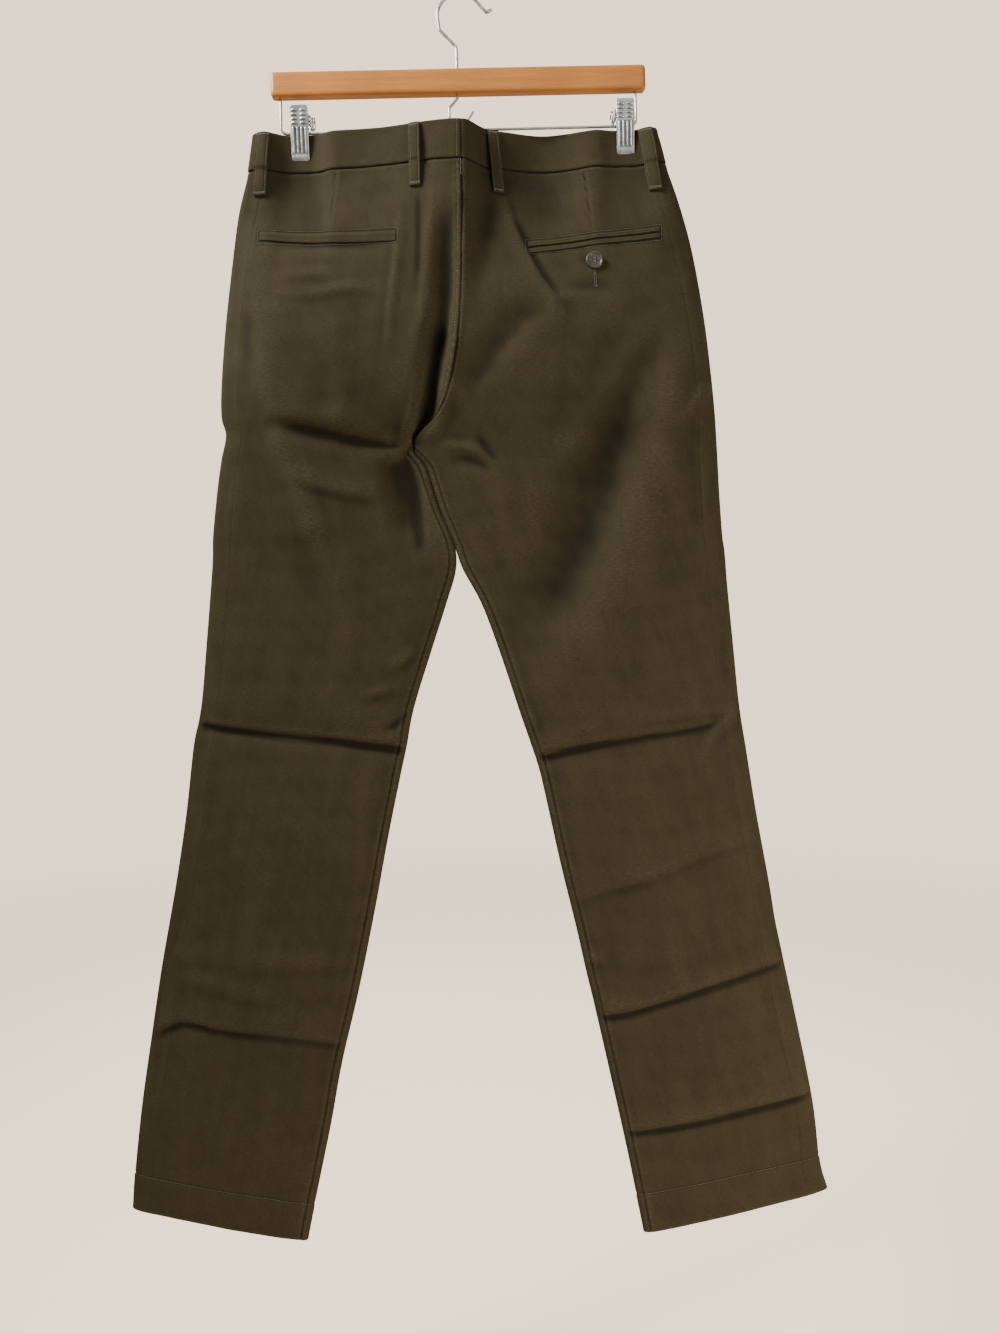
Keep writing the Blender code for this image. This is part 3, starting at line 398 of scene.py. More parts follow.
CAMERA = {"at": (0.027, -1.0, -0.672), "roll": 1.2}


# ---------------------------------------------------------------- the ring's form
def bell(share):
    """A bell curve: 1 at nought and 1/e at a distance of 1."""
    return np.exp(-(share**2))


def read_smooth(column, level):
    """A curve through a column's values with tangents along its neighbours' chord,
    read at fractional row numbers."""
    column = np.asarray(column, float)
    start = 2.0 * column[0] - column[1]
    end = 2.0 * column[-1] - column[-2]
    padded = np.concatenate(([start], column, [end]))
    row = np.clip(np.floor(level).astype(int), 0, len(column) - 2)
    part = level - row
    before, here, after, beyond = (padded[row + step] for step in range(4))
    return 0.5 * (
        2.0 * here
        + (after - before) * part
        + (2.0 * before - 5.0 * here + 4.0 * after - beyond) * part**2
        + (3.0 * here - before - 3.0 * after + beyond) * part**3
    )


def row_values(half, level):
    """Every named value of a half's outline and section at these levels."""
    outline = dict(zip(OUTLINE_COLUMNS, np.transpose(OUTLINES[half])))
    section = dict(zip(SECTION_COLUMNS, np.transpose(SECTIONS)))
    values = {name: read_smooth(column, level) for name, column in outline.items()}
    values |= {name: read_smooth(column, level) for name, column in section.items()}
    values["closure"] = np.clip(values["closure"], 0.0, 1.0)
    values["reach"] = np.hypot(
        values["side_x"] - values["inner_x"], values["side_z"] - values["inner_z"]
    )
    return values


def lens(values, along, depth, lift):
    """One point of a flattened ring: a superellipse shrunk by FOLD_RADIUS and grown
    again along its normals, so that no fold is tighter than that. Returns the
    distance along the row from the ring's middle and the depth."""
    half_width = values["reach"] / (1.0 + values["closure"]) - FOLD_RADIUS
    thin = depth - FOLD_RADIUS
    out = (1.0 - np.abs(along) ** RING_POWER) ** (1.0 / RING_POWER)
    normal_along = np.sign(along) * np.abs(along) ** (RING_POWER - 1.0) / half_width
    normal_out = out ** (RING_POWER - 1.0) / thin
    size = np.hypot(normal_along, normal_out)
    grown = FOLD_RADIUS + lift
    return (
        half_width * along + grown * normal_along / size,
        thin * out + grown * normal_out / size,
    )


def fold_shift(half, side, x, z):
    """How far the folds push the cloth inwards: for each, its depth times a bell
    curve of the distance to its line, fading past its ends."""
    shift = np.zeros(np.broadcast(x, z).shape)
    for from_x, from_z, to_x, to_z, spread, depth in FOLDS[half, side]:
        run_x, run_z = to_x - from_x, to_z - from_z
        length = math.hypot(run_x, run_z)
        along = ((x - from_x) * run_x + (z - from_z) * run_z) / length
        across = ((x - from_x) * run_z - (z - from_z) * run_x) / length
        past = np.maximum(np.maximum(-along, along - length), 0.0)
        shift += depth * np.exp(-(across**2 + past**2) / spread**2)
    return shift


def waist_shift(values, x, z, seat_side):
    """The centre-back ridge and the dip beside it, fading down the seat."""
    fade = bell(np.maximum(-177.0 - z, 0.0) / WAIST_FADE)
    dip = DIP["depth"] * fade * bell((x - DIP["x"]) / DIP["spread"])
    off_centre = x - values["inner_x"]
    spread = np.where(off_centre < 0.0, RIDGE["spread_left"], RIDGE["spread_right"])
    ridge = RIDGE["height"] * fade * np.exp(-(np.abs(off_centre / spread) ** RIDGE["power"]))
    return np.where(seat_side, dip - ridge, DIP["fly_share"] * dip)


def pinch_share(x, z):
    """1 inside a clip's bite, falling to 0 away from it."""
    across = np.minimum(np.abs(x - CLIP_X[0]), np.abs(x - CLIP_X[1]))
    below = np.maximum(PINCH["below_z"] - z, 0.0)
    return np.exp(-((across / PINCH["half_width"]) ** 4) - (below / PINCH["reach"]) ** 2)


def halve(low, high, falls_short):
    """Closes in on the value at which falls_short turns false, in arrays."""
    for _ in range(36):
        middle = 0.5 * (low + high)
        short = falls_short(middle)
        low, high = np.where(short, middle, low), np.where(short, high, middle)
    return 0.5 * (low + high)


# ---------------------------------------------------------------- the cloth's surface
def smooth_step(share):
    """3t^2 - 2t^3 with t held between 0 and 1."""
    share = np.clip(share, 0.0, 1.0)
    return share * share * (3.0 - 2.0 * share)


def half_width(values):
    """How far (mm) a place of 1 is from the ring's middle."""
    return values["reach"] / (1.0 + values["closure"])


def ring(half, level, place, seat, lift=0.0):
    """A point (mm) of one half's form: the lens of that level, laid along the line from
    its inner edge to its side, with the large folds, the shape of the waist and the
    clips' pinch added to its depth."""
    level, place, seat, lift = np.broadcast_arrays(level, place, seat, lift)
    values = row_values(half, level)
    depth = np.where(seat, values["seat_depth"], values["fly_depth"])
    along, out = lens(values, place, depth, lift)
    inner_end = lens(values, -values["closure"], depth, 0.0)[0]
    share = (along - inner_end) / (half_width(values) - inner_end)
    x = values["inner_x"] + (values["side_x"] - values["inner_x"]) * share
    z = values["inner_z"] + (values["side_z"] - values["inner_z"]) * share
    z = z - np.where(seat, 0.0, values["fly_drop"] * np.clip(1.0 - share, 0.0, 1.0) ** 2)
    middle = values["inner_y"] + (values["side_y"] - values["inner_y"]) * share
    edge = 1.0 - bell(values["reach"] * (1.0 - share) / FOLD_EDGE_FADE)
    inner = bell(values["reach"] * share / FOLD_EDGE_FADE)
    edge = edge * (1.0 - values["closure"] * inner)
    folds = np.where(seat, fold_shift(half, "seat", x, z), -fold_shift(half, "fly", x, z))
    y = middle + np.where(seat, -out, out)
    y = y + edge * (folds + waist_shift(values, x, z, seat))
    pinch = pinch_share(x, z) * edge
    held = np.where(seat, -1.0, 1.0) * (PINCH["y"] + lift)
    return np.stack([x, y * (1.0 - pinch) + held * pinch, z], axis=-1)


def smooth_line(points, step=6.0):
    """A curve through points, a Catmull-Rom spline read about every step mm."""
    points = np.asarray(points, float)
    spans = np.hypot(*np.diff(points[:, :2], axis=0).T)
    counts = np.maximum(1, np.ceil(spans / step).astype(int))
    level = np.concatenate(
        [row + np.arange(count) / count for row, count in enumerate(counts)]
        + [[len(points) - 1.0]])
    return np.stack([read_smooth(column, level) for column in points.T], axis=-1)


def crease_height(line, above, below, x, z):
    """Height at the points (x, z) of a crease along a line of (x, z, height): a bell
    curve of the distance to it, as wide as above on its left hand and as below on its
    right."""
    nearest = np.full(x.shape, np.inf)
    hand, height = np.zeros(x.shape), np.zeros(x.shape)
    for (ax, az, ah), (bx, bz, bh) in zip(line, line[1:]):
        run_x, run_z = bx - ax, bz - az
        share = ((x - ax) * run_x + (z - az) * run_z) / (run_x**2 + run_z**2)
        share = np.clip(share, 0.0, 1.0)
        off_x, off_z = x - ax - share * run_x, z - az - share * run_z
        away = np.hypot(off_x, off_z)
        nearer = away < nearest
        nearest = np.where(nearer, away, nearest)
        hand = np.where(nearer, run_x * off_z - run_z * off_x, hand)
        height = np.where(nearer, ah + share * (bh - ah), height)
    width = np.where(hand > 0.0, above, below)
    return height * bell(nearest / width)


def creases(half, side, x, z):
    """All the listed creases of one side, added together."""
    total = np.zeros(x.shape)
    for above, below, path in CREASES[half, side]:
        line = smooth_line(path)
        reach = 2.5 * max(above, below)
        near = (x > line[:, 0].min() - reach) & (x < line[:, 0].max() + reach)
        near &= (z > line[:, 1].min() - reach) & (z < line[:, 1].max() + reach)
        total[near] += crease_height(line, above, below, x[near], z[near])
    return total


def drape(half, side, x, z):
    """The cloth's broad unevenness: sine waves of WAVES, each bent by a longer one."""
    turn = 1.7 * (1 + ("left", "right").index(half) + 2 * ("seat", "fly").index(side))
    total = np.zeros(x.shape)
    for number, (length, angle, height) in enumerate(WAVES):
        way = math.radians(angle)
        along = x * math.cos(way) + z * math.sin(way)
        over = z * math.cos(way) - x * math.sin(way)
        bend = 1.4 * np.sin(over / (1.3 * length) + turn * (number + 1))
        total += height * np.sin(2 * math.pi * along / length + bend + turn * number)
    return total


def relief_at(half, level, place, seat):
    """Creases and drape of the cloth, dying out at a fold and in a clip's bite."""
    level, place, seat = np.broadcast_arrays(level, place, seat)
    x, _, z = np.moveaxis(ring(half, level, place, seat), -1, 0)
    relief = np.zeros(x.shape)
    for side, here in (("seat", seat), ("fly", ~seat)):
        if here.any():
            relief[here] = creases(half, side, x[here], z[here])
            relief[here] += drape(half, side, x[here], z[here])
    values = row_values(half, level)
    width = half_width(values)
    fade = 1.0 - bell(width * (1.0 - place) / 5.0)
    fade = fade * (1.0 - values["closure"] * bell(width * (1.0 + place) / 4.0))
    return cloth().relief * relief * fade * (1.0 - pinch_share(x, z))


def surface(half, level, place, seat, lift=0.0):
    """The ring with the cloth's relief added along its normals."""
    return ring(half, level, place, seat, lift + relief_at(half, level, place, seat))


def locate(half, seat, x, z):
    """Level and place of the points (x, z) on one side: first the level whose line runs
    through the point, then the place on it, each closed in on by halving."""
    x, z = np.broadcast_arrays(np.asarray(x, float), np.asarray(z, float))
    row_z = z

    def above(level):
        row = row_values(half, level)
        slope = (row["side_z"] - row["inner_z"]) / (row["side_x"] - row["inner_x"])
        return row["inner_z"] + slope * (x - row["inner_x"]) > row_z

    for _ in range(3):
        level = halve(np.full(x.shape, -0.3), np.full(x.shape, LAST + 0.0), above)
        values = row_values(half, level)
        width = values["side_x"] - values["inner_x"]
        if not seat:
            short = np.clip(1.0 - (x - values["inner_x"]) / width, 0.0, 1.0)
            row_z = z + values["fly_drop"] * short**2
    way = np.sign(width)
    place = halve(
        -values["closure"], np.ones(x.shape),
        lambda place: (ring(half, level, place, seat)[..., 0] - x) * way < 0.0)
    return level, place


def seam_lift(away, along, pucker=0.22, pitch=8.0, depth=0.9, proud=0.35):
    """How a sewn edge lies: it rolls in to the stitching over a millimetre, stands
    proud over the folded allowance beside it and puckers along it."""
    roll = -depth * bell(away / 1.1)
    raised = proud * bell((away - 3.2) / 2.4)
    wave = np.sin(2 * math.pi * (along / pitch + 0.4 * np.sin(along / 31.0)))
    wave = wave * (0.6 + 0.4 * np.sin(along / 17.0))
    return roll + raised + pucker * wave * bell(away / 6.0)


def local_mean(values, rows, columns):
    """Each point's mean over a window of the grid, its border carried outwards."""
    for axis, reach in ((0, rows), (1, columns)):
        pad = [(reach + 1, reach) if way == axis else (0, 0) for way in (0, 1)]
        total = np.cumsum(np.pad(values, pad, mode="edge"), axis=axis)
        size = 2 * reach + 1
        values = (np.take(total, range(size, total.shape[axis]), axis)
                  - np.take(total, range(total.shape[axis] - size), axis)) / size
    return values


def shape_wear_and_painted_light(points, lift, seat, inside):
    """Wear and painted light from the cloth's own shape: its fine relief over its mean nearby,
    and how far it stands out from or lies behind its wider mean, if it is well inside the side
    fold. Below nought it is painted shade in creases and hollows; above nought it lightens the
    crests, as wear and painted highlight on fine crests and as painted highlight on broad ones."""
    proud = lift - local_mean(lift, 3, 3)
    # Painted shade in fine creases; fine crests lighter, as wear and painted highlight.
    fine = 0.9 * np.minimum(proud, 0.0) + 0.35 * np.maximum(proud, 0.0)
    depth = np.where(seat, -1.0, 1.0) * points[..., 1]
    # Painted shade where the cloth lies behind its wider mean, painted highlight where it stands
    # out from it.
    wide = local_mean(depth - local_mean(local_mean(depth, 11, 9), 11, 9), 2, 2)
    wide = 0.11 * np.minimum(wide + 0.4, 0.0) + 0.12 * np.clip(wide - 0.2, 0.0, 2.5)
    return np.clip(fine + wide * smooth_step((inside - 4.0) / 22.0), -0.8, 0.35)


def groove(away, width, depth):
    """A line pressed in by stitching: minus a bell curve of the distance to it."""
    return -depth * bell(away / width)


def rounding(away, radius):
    """How far a face drops within a radius of its edge, as a quarter circle."""
    inside = np.clip(radius - away, 0.0, radius)
    return np.sqrt(radius**2 - inside**2) - radius


# ---------------------------------------------------------------- making meshes
def grid_quads(rows, columns, closed=False, flip=False, first=0):
    """The quads of a grid whose rows run down and whose columns run to the right, so
    that it faces the viewer, as an array of corner numbers."""
    number = first + np.arange(rows * columns).reshape(rows, columns)
    if closed:
        number = np.concatenate([number, number[:, :1]], axis=1)
    quads = np.stack(
        [number[:-1, :-1], number[1:, :-1], number[1:, 1:], number[:-1, 1:]], axis=-1)
    quads = quads.reshape(-1, 4)
    return quads[:, ::-1] if flip else quads


def tube_faces(rows, sides, outward=True):
    """The faces of a closed tube of rings and of the caps on its two ends."""
    faces = grid_quads(rows, sides, closed=True).tolist()
    last = (rows - 1) * sides
    faces += [list(range(sides))[::-1], list(range(last, last + sides))]
    return [face[::-1] for face in faces] if outward else faces


def place_piece(name, points, faces, finish, nodes=(), uv=None, wear_and_painted_light=None):
    """One finished piece: its mesh in place, its finish, and the body, material slot
    and CAD nodes that it stands for."""
    mesh = bpy.data.meshes.new(name)
    points = np.asarray(points, float).reshape(-1, 3) * MM
    mesh.from_pydata(points.tolist(), [], [list(face) for face in faces])
    mesh.polygons.foreach_set("use_smooth", np.ones(len(mesh.polygons), bool))
    if uv is not None:
        corner = np.zeros(len(mesh.loops), np.int32)
        mesh.loops.foreach_get("vertex_index", corner)
        layer = mesh.uv_layers.new(name="weave")
        flat = np.asarray(uv, float).reshape(-1, 2)[corner] * MM
        layer.data.foreach_set("uv", flat.astype(np.float32).ravel())
    if wear_and_painted_light is not None:
        # The attribute carries wear and painted light: paler above nought, painted shade below.
        layer = mesh.attributes.new("wear_and_painted_light", "FLOAT", "POINT")
        layer.data.foreach_set("value", np.asarray(wear_and_painted_light, np.float32).ravel())
    mesh.update()
    piece = bpy.data.objects.new(name, mesh)
    bpy.context.scene.collection.objects.link(piece)
    mesh.materials.append(bpy.data.materials.get(finish) or FINISHES[finish](finish))
    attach(piece, BODY)
    if nodes:
        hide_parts(*nodes)
    return piece


def border_of(number):
    """The corner numbers round a grid's border, from its last column back to itself."""
    return np.concatenate(
        [number[0, ::-1], number[1:, 0], number[-1, 1:], number[-2::-1, -1]])


def shell(name, outer, inner, finish="olive twill", slot="olive_twill", nodes=(),
          closed=False, flip=False, uv=None, wear_and_painted_light=None, way=(0.0, 0.0)):
    """A closed wall between its outer and its inner face, two grids of one shape. The
    weave's map is the length along each row and down the middle column."""
    rows, columns = outer.shape[:2]
    count = rows * columns
    number = np.arange(count).reshape(rows, columns)
    faces = [grid_quads(rows, columns, closed, flip),
             grid_quads(rows, columns, closed, not flip, count)]
    if closed:
        looped = np.concatenate([number, number[:, :1]], axis=1)
        edges = [looped[0, ::-1], looped[-1]]
    else:
        edges = [border_of(number)]
    for edge in edges:
        rim = np.stack([edge[:-1], edge[1:], count + edge[1:], count + edge[:-1]], axis=-1)
        faces.append(rim if flip else rim[:, ::-1])
    if uv is None:
        over = np.linalg.norm(np.diff(outer, axis=1, prepend=outer[:, :1]), axis=-1)
        over = np.cumsum(over, axis=1)
        over = over - over[:, columns // 2, None]
        middle = outer[:, columns // 2]
        down = np.cumsum(np.linalg.norm(np.diff(middle, axis=0, prepend=middle[:1]), axis=-1))
        uv = np.stack([over + way[0], 0.0 * over - down[:, None] + way[1]], axis=-1)
    wear_and_painted_light = np.zeros((rows, columns)) if wear_and_painted_light is None else wear_and_painted_light
    return place_piece(
        name, np.stack([outer, inner]), np.concatenate(faces).tolist(), finish,
        nodes, np.stack([uv, uv]), np.stack([wear_and_painted_light, wear_and_painted_light]))


def pull_border(grid, first_column=0.0, last_column=0.0, first_row=0.0):
    """Moves a grid's border points towards their neighbours by these distances."""
    grid = grid.copy()

    def pull(edge, neighbour, distance):
        step = neighbour - edge
        return edge + distance * step / np.linalg.norm(step, axis=-1, keepdims=True)

    grid[:, 0] = pull(grid[:, 0], grid[:, 1], first_column)
    grid[:, -1] = pull(grid[:, -1], grid[:, -2], last_column)
    grid[0] = pull(grid[0], grid[1], first_row)
    return grid


# ---------------------------------------------------------------- panels of the legs
def panel_rows(half, step):
    """Levels of a leg panel's rows and how far down (mm) each lies: even steps, closer
    at the waistband's seam, at the hem's stitching and at the hem's edge."""
    level = np.linspace(1.0, LAST, 1500)
    values = row_values(half, level)
    x = 0.5 * (values["side_x"] + values["inner_x"])
    z = 0.5 * (values["side_z"] + values["inner_z"])
    run = np.concatenate([[0.0], np.cumsum(np.hypot(np.diff(x), np.diff(z)))])
    end = run[-1]
    stitch = end - HEM_HEIGHT
    count = int((stitch - 14.0) / step)
    stations = np.concatenate([
        EDGE_RUN, np.linspace(9.0, stitch - 5.0, count)[1:],
        stitch + np.arange(-3.8, 4.0, 0.8), np.arange(stitch + 6.0, end - 4.0, step),
        end - np.array([3.0, 1.8, 1.0, 0.5, 0.2, 0.0])])
    return np.interp(stations, run, level)[:, None], stations[:, None]


def even_run(length, count):
    """Even distances along a row, between the close ones at its two ends."""
    close = EDGE_RUN[-1]
    return close + (length - 2.0 * close) * np.linspace(0.0, 1.0, count)[1:-1]


def inseam_share(level, closure):
    """How much of its inset from the inner fold the inseam has: none above the crotch."""
    return np.maximum(smooth_step(2.0 * (level - CROTCH)), 0.02 * (closure >= 1.0))


def seat_columns(half, level, count):
    """Places across the seat side of a panel, whether each is on the seat side, and
    its distances from the two seams."""
    values = row_values(half, level)
    width = half_width(values)
    inset = inseam_share(level, values["closure"]) * INSEAM_INSET
    start = -values["closure"] * (1.0 - inset / width)
    total = (1.0 - OUTSEAM_INSET / width - start) * width
    even = even_run(total, count)
    run = np.concatenate(
        [0 * total + EDGE_RUN, even, total - EDGE_RUN[::-1]], axis=1)
    seat = np.ones(run.shape, bool)
    return start + run / width, seat, run, total - run


def fly_columns(half, level, count):
    """Places from the outseam on the seat side round the side fold, across the fly side
    and, below the crotch, round the inner fold to the inseam."""
    values = row_values(half, level)
    width = half_width(values)
    share = inseam_share(level, values["closure"])
    wrap = np.concatenate(
        [OUTSEAM_INSET - EDGE_RUN[:7], [11.2], FOLD_RUN[::-1]]) + 0 * width
    reach = values["reach"]
    even = even_run(reach, count)
    front = np.concatenate([0 * reach + FOLD_RUN[1:], even, reach - FOLD_RUN[::-1]], axis=1)
    tuck = TUCK_RUN + 0 * width
    on_seat = share + 0 * tuck > 0.0
    tucked = np.where(
        on_seat, -1.0 + share * tuck / width, -values["closure"] - 0.02 * tuck / width)
    place = np.concatenate([1.0 - wrap / width, 1.0 - front / width, tucked], axis=1)
    place = np.clip(place, -1.0, 1.0)
    seat = np.concatenate(
        [np.ones(wrap.shape, bool), np.zeros(front.shape, bool), on_seat], axis=1)
    start = np.concatenate([OUTSEAM_INSET - wrap, OUTSEAM_INSET + front,
                            OUTSEAM_INSET + reach + share * tuck], axis=1)
    return place, seat, start, start[:, -1:] - start


def leg_panel(half, side):
    """One leg panel, from the waistband's seam to the hem, as a thin shell."""
    settings = cloth()
    back = side == "seat"
    level, down = panel_rows(half, settings.row_step / MM)
    columns = seat_columns if back else fly_columns
    place, seat, start, end = columns(half, level, 84 if back else 62)
    hem_up = down[-1] - down
    shift = 23.0 if half == "left" else 0.0
    side_seam, inner_seam = (end, start) if back else (start, end)
    lift = seam_lift(side_seam, down + shift, 0.1, 9.0, 0.1, 0.1)
    above = 1.0 - smooth_step((level - CROTCH + 0.4) / 0.4)
    lift = lift + seam_lift(
        inner_seam, down + 2 * shift, 0.2, 8.0, 0.3 + 0.15 * above, 0.3 - 0.15 * above)
    across = 0.7 * start + shift
    lift = lift + seam_lift(down, across, 0.15, 11.0, 0.7)
    at_stitch = hem_up - HEM_HEIGHT
    lift = lift + groove(at_stitch, 1.5, 0.45) + 0.3 * smooth_step(-at_stitch / 3.0)
    rope = np.sin(2 * math.pi * (start + 0.9 * hem_up) / 9.0 + 2.0 * np.sin(start / 23.0))
    lift = lift + 0.06 * rope * np.exp(-(((hem_up - 0.5 * HEM_HEIGHT) / 17.0) ** 4))
    if back:
        lift = lift + centre_back_lift(half, level, start, down)
        x, _, z = np.moveaxis(ring(half, level, place, seat), -1, 0)
        pressed, shade = pocket_lift(half, x, z)
        lift = lift + pressed
    else:
        shade = 0.0
    wall = settings.wall / MM
    edge = rounding(hem_up, 0.5)
    lift = lift + relief_at(half, level, place, seat)
    outer = ring(half, level, place, seat, lift + edge)
    inner = ring(half, level, place, seat, lift - wall)
    outer, inner = (pull_border(grid, SEAM_HALF, SEAM_HALF, SEAM_HALF) for grid in (outer, inner))
    # Paler just beside the inseam and at the hem's fold, as wear; painted shade along the inseam
    # itself.
    wear_and_painted_light = 0.45 * bell((inner_seam - 2.4) / 1.2)
    wear_and_painted_light = wear_and_painted_light - 0.6 * bell(inner_seam / 1.0)
    wear_and_painted_light = wear_and_painted_light + 0.9 * bell(hem_up / 1.6)
    inside = half_width(row_values(half, level)) * (1.0 - place)
    # Painted shade and highlight round the pockets and darts, and painted shade and highlight
    # from the cloth's own shape.
    wear_and_painted_light = wear_and_painted_light + shade + shape_wear_and_painted_light(outer, lift, seat, inside)
    name = ("seat_cloth_" if back else "front_cloth_") + half
    node = ("back_panel_" if back else "front_panel_") + half
    piece = shell(
        name, outer, inner, nodes=(node,), flip=half == "left",
        wear_and_painted_light=np.clip(wear_and_painted_light, -1.0, 1.0), way=(310.0 * back, 0.0))
    across = start[:, -1]
    area = float(np.sum(0.5 * (across[1:] + across[:-1]) * np.diff(down[:, 0])))
    piece["cut_width"], piece["cut_length"] = float(across.max()), float(down[-1, 0])
    piece["cut_area"] = area
    return piece


def centre_back_lift(half, level, start, down):
    """The centre back's lapped seam: its allowances lie to the left under a line of
    topstitching, and gather there."""
    above = 1.0 - smooth_step((level - CROTCH + 0.4) / 0.4)
    if half == "right":
        return above * 0.25 * bell((start - 2.5) / 2.0)
    ripple = np.sin(2 * math.pi * (down / 9.5 + 0.5 * np.sin(down / 41.0)))
    ripple = ripple * (0.7 + 0.3 * np.sin(down / 13.0))
    lapped = 0.5 * smooth_step((9.0 - start) / 3.0)
    gather = 0.32 * ripple * bell((start - 4.0) / 5.0)
    return above * (lapped + groove(start - CENTRE_STITCH, 0.8, 0.45) + gather)


def pocket_lift(half, x, z):
    """The seat cloth round a welt pocket, pressed in along its stitching and sunk at the welt's
    edge, with the darts above as fine pressed lines: the height it adds, and its painted light:
    painted shade along the welt's edge and on each dart's line, and a painted highlight beside
    each dart."""
    lift, shade = np.zeros(x.shape), np.zeros(x.shape)
    for row_half, corners in WELT_FIELDS:
        if row_half == half:
            (ax, az), (bx, bz), drop = corners
            share = np.clip((x - ax) / (bx - ax), 0.0, 1.0)
            line = az + share * (bz - az)
            past = np.maximum(ax - x, x - bx)
            away = np.maximum(np.abs(line - 0.5 * drop - z) - 0.5 * drop, past)
            lift += groove(away - 2.6, 1.1, 0.4) - 0.5 * smooth_step(-away / 2.0)
            # Painted shade along the welt's edge.
            shade -= 0.9 * bell(away / 1.3)
    for row_half, top, foot in DARTS:
        if row_half == half:
            line = np.array([(*top, 0.9), (*foot, 0.35)])
            pressed = crease_height(line, 1.0, 1.0, x, z)
            lift += 0.7 * crease_height(line + [[3.2, 0, 0]], 2.6, 2.6, x, z) - pressed
            # Painted shade on the dart's line and a painted highlight just beside it.
            shade -= 0.45 * pressed
            shade += 0.6 * crease_height(line - [[1.8, 0, 0]], 0.9, 0.9, x, z)
    return lift, shade


# ---------------------------------------------------------------- waistband and hems
def waistband(half):
    """One half of the waistband: a closed band with a rounded top edge, from the centre
    back round the side to the centre front, the left one running on as a tab."""
    level = np.array([0.0, 1.0])
    values = row_values(half, level)
    deep = float(np.hypot(values["inner_z"][0] - values["inner_z"][1], 1.0))
    down = np.concatenate([
        [0.0, 0.12, 0.3, 0.55, 0.85, 1.2, 1.7, 2.4, 3.4], np.linspace(5.0, deep - 9.0, 16)[:-1],
        deep - EDGE_RUN[::-1]])[:, None]
    level = down / deep
    values = row_values(half, level)
    width = half_width(values)
    even = even_run(width, 64)
    to_side = np.concatenate([0 * width + EDGE_RUN, even, width - FOLD_RUN[::-1]], axis=1)
    to_front = np.concatenate([0 * width + FOLD_RUN[1:], even, width - EDGE_RUN[::-1]], axis=1)
    place = np.concatenate([to_side / width, 1.0 - to_front / width], axis=1)
    run = np.concatenate([to_side, width + to_front], axis=1)
    seat = np.concatenate(
        [np.ones(to_side.shape, bool), np.zeros(to_front.shape, bool)], axis=1)
    lift = band_relief(down, deep, run)
    lift = lift + centre_back_band(half, run)
    grids, relief = [], relief_at(half, level, place, seat)
    for base, radius in ((BAND_LIFT, 1.15), (BAND_LIFT - BAND_WALL, -0.75)):
        shaped = lift + base + np.sign(radius) * rounding(down, abs(radius))
        grid = ring(half, level, place, seat, shaped + relief)
        if half == "left":
            near = np.clip(1.0 + grid[..., 0] / FLY_TAB["ramp"], 0.0, 1.0) * ~seat
            grid[..., 1] += FLY_TAB["lift"] * smooth_step(near)
            reach = FLY_TAB["reach"]
            on = np.concatenate([np.arange(2.0, reach - 2.0, 2.5), reach - EDGE_RUN[5::-1]])
            tab = on / row_values("right", level)["reach"]
            tab_lift = band_relief(down, deep, 300.0 + on) + base + FLY_TAB["lift"]
            tab_lift = tab_lift + np.sign(radius) * (
                rounding(down, abs(radius)) + rounding(reach - on, abs(radius)))
            grid = np.concatenate(
                [grid, surface("right", level, tab, False, tab_lift)], axis=1)
        grids.append(pull_border(
            grid, SEAM_HALF, 0.0 if half == "left" else SEAM_HALF, 0.0))
    rows = grids[0].shape[:2]
    # Paler along the top edge, as wear, and a painted shadow along the lower edge, where the band
    # overhangs the seam.
    wear_and_painted_light = 0.5 * bell(down / 1.4) - 0.8 * bell((deep - down) / 0.9)
    piece = shell(
        "band_cloth_" + half, *grids, nodes=("waistband_" + half,), flip=half == "left",
        wear_and_painted_light=np.broadcast_to(wear_and_painted_light, rows), way=(0.0, 500.0))
    length = float(np.mean(2.0 * width)) + (FLY_TAB["reach"] if half == "left" else 0.0)
    piece["cut_width"], piece["cut_length"] = length, deep
    piece["cut_area"] = length * deep
    return piece


def band_relief(down, deep, run):
    """The waistband's face: a soft roll along its top edge, its lower edge turned in to
    the seam, and the slight ripple of the stitching between."""
    roll = -0.5 * bell((deep - down) / 0.9)
    proud = 0.12 * bell((deep - down - 3.0) / 2.6)
    top = 0.25 * bell((down - 2.5) / 2.2)
    ripple = np.sin(2 * math.pi * (run / 13.0 + 0.5 * np.sin(run / 37.0) + down / 60.0))
    low = 0.14 * ripple * bell((deep - down) / 9.0)
    soft = 0.35 * np.sin(run / 29.0 + 0.7 * np.sin(down / 13.0)) * np.sin(math.pi * down / deep)
    return roll + proud + top + low + soft


def centre_back_band(half, run):
    """The centre back's seam runs on up through the waistband."""
    roll = -0.5 * bell(run / 1.1)
    if half == "right":
        return roll
    return roll + groove(run - CENTRE_STITCH, 0.8, 0.3) + 0.3 * smooth_step((9.0 - run) / 3.0)


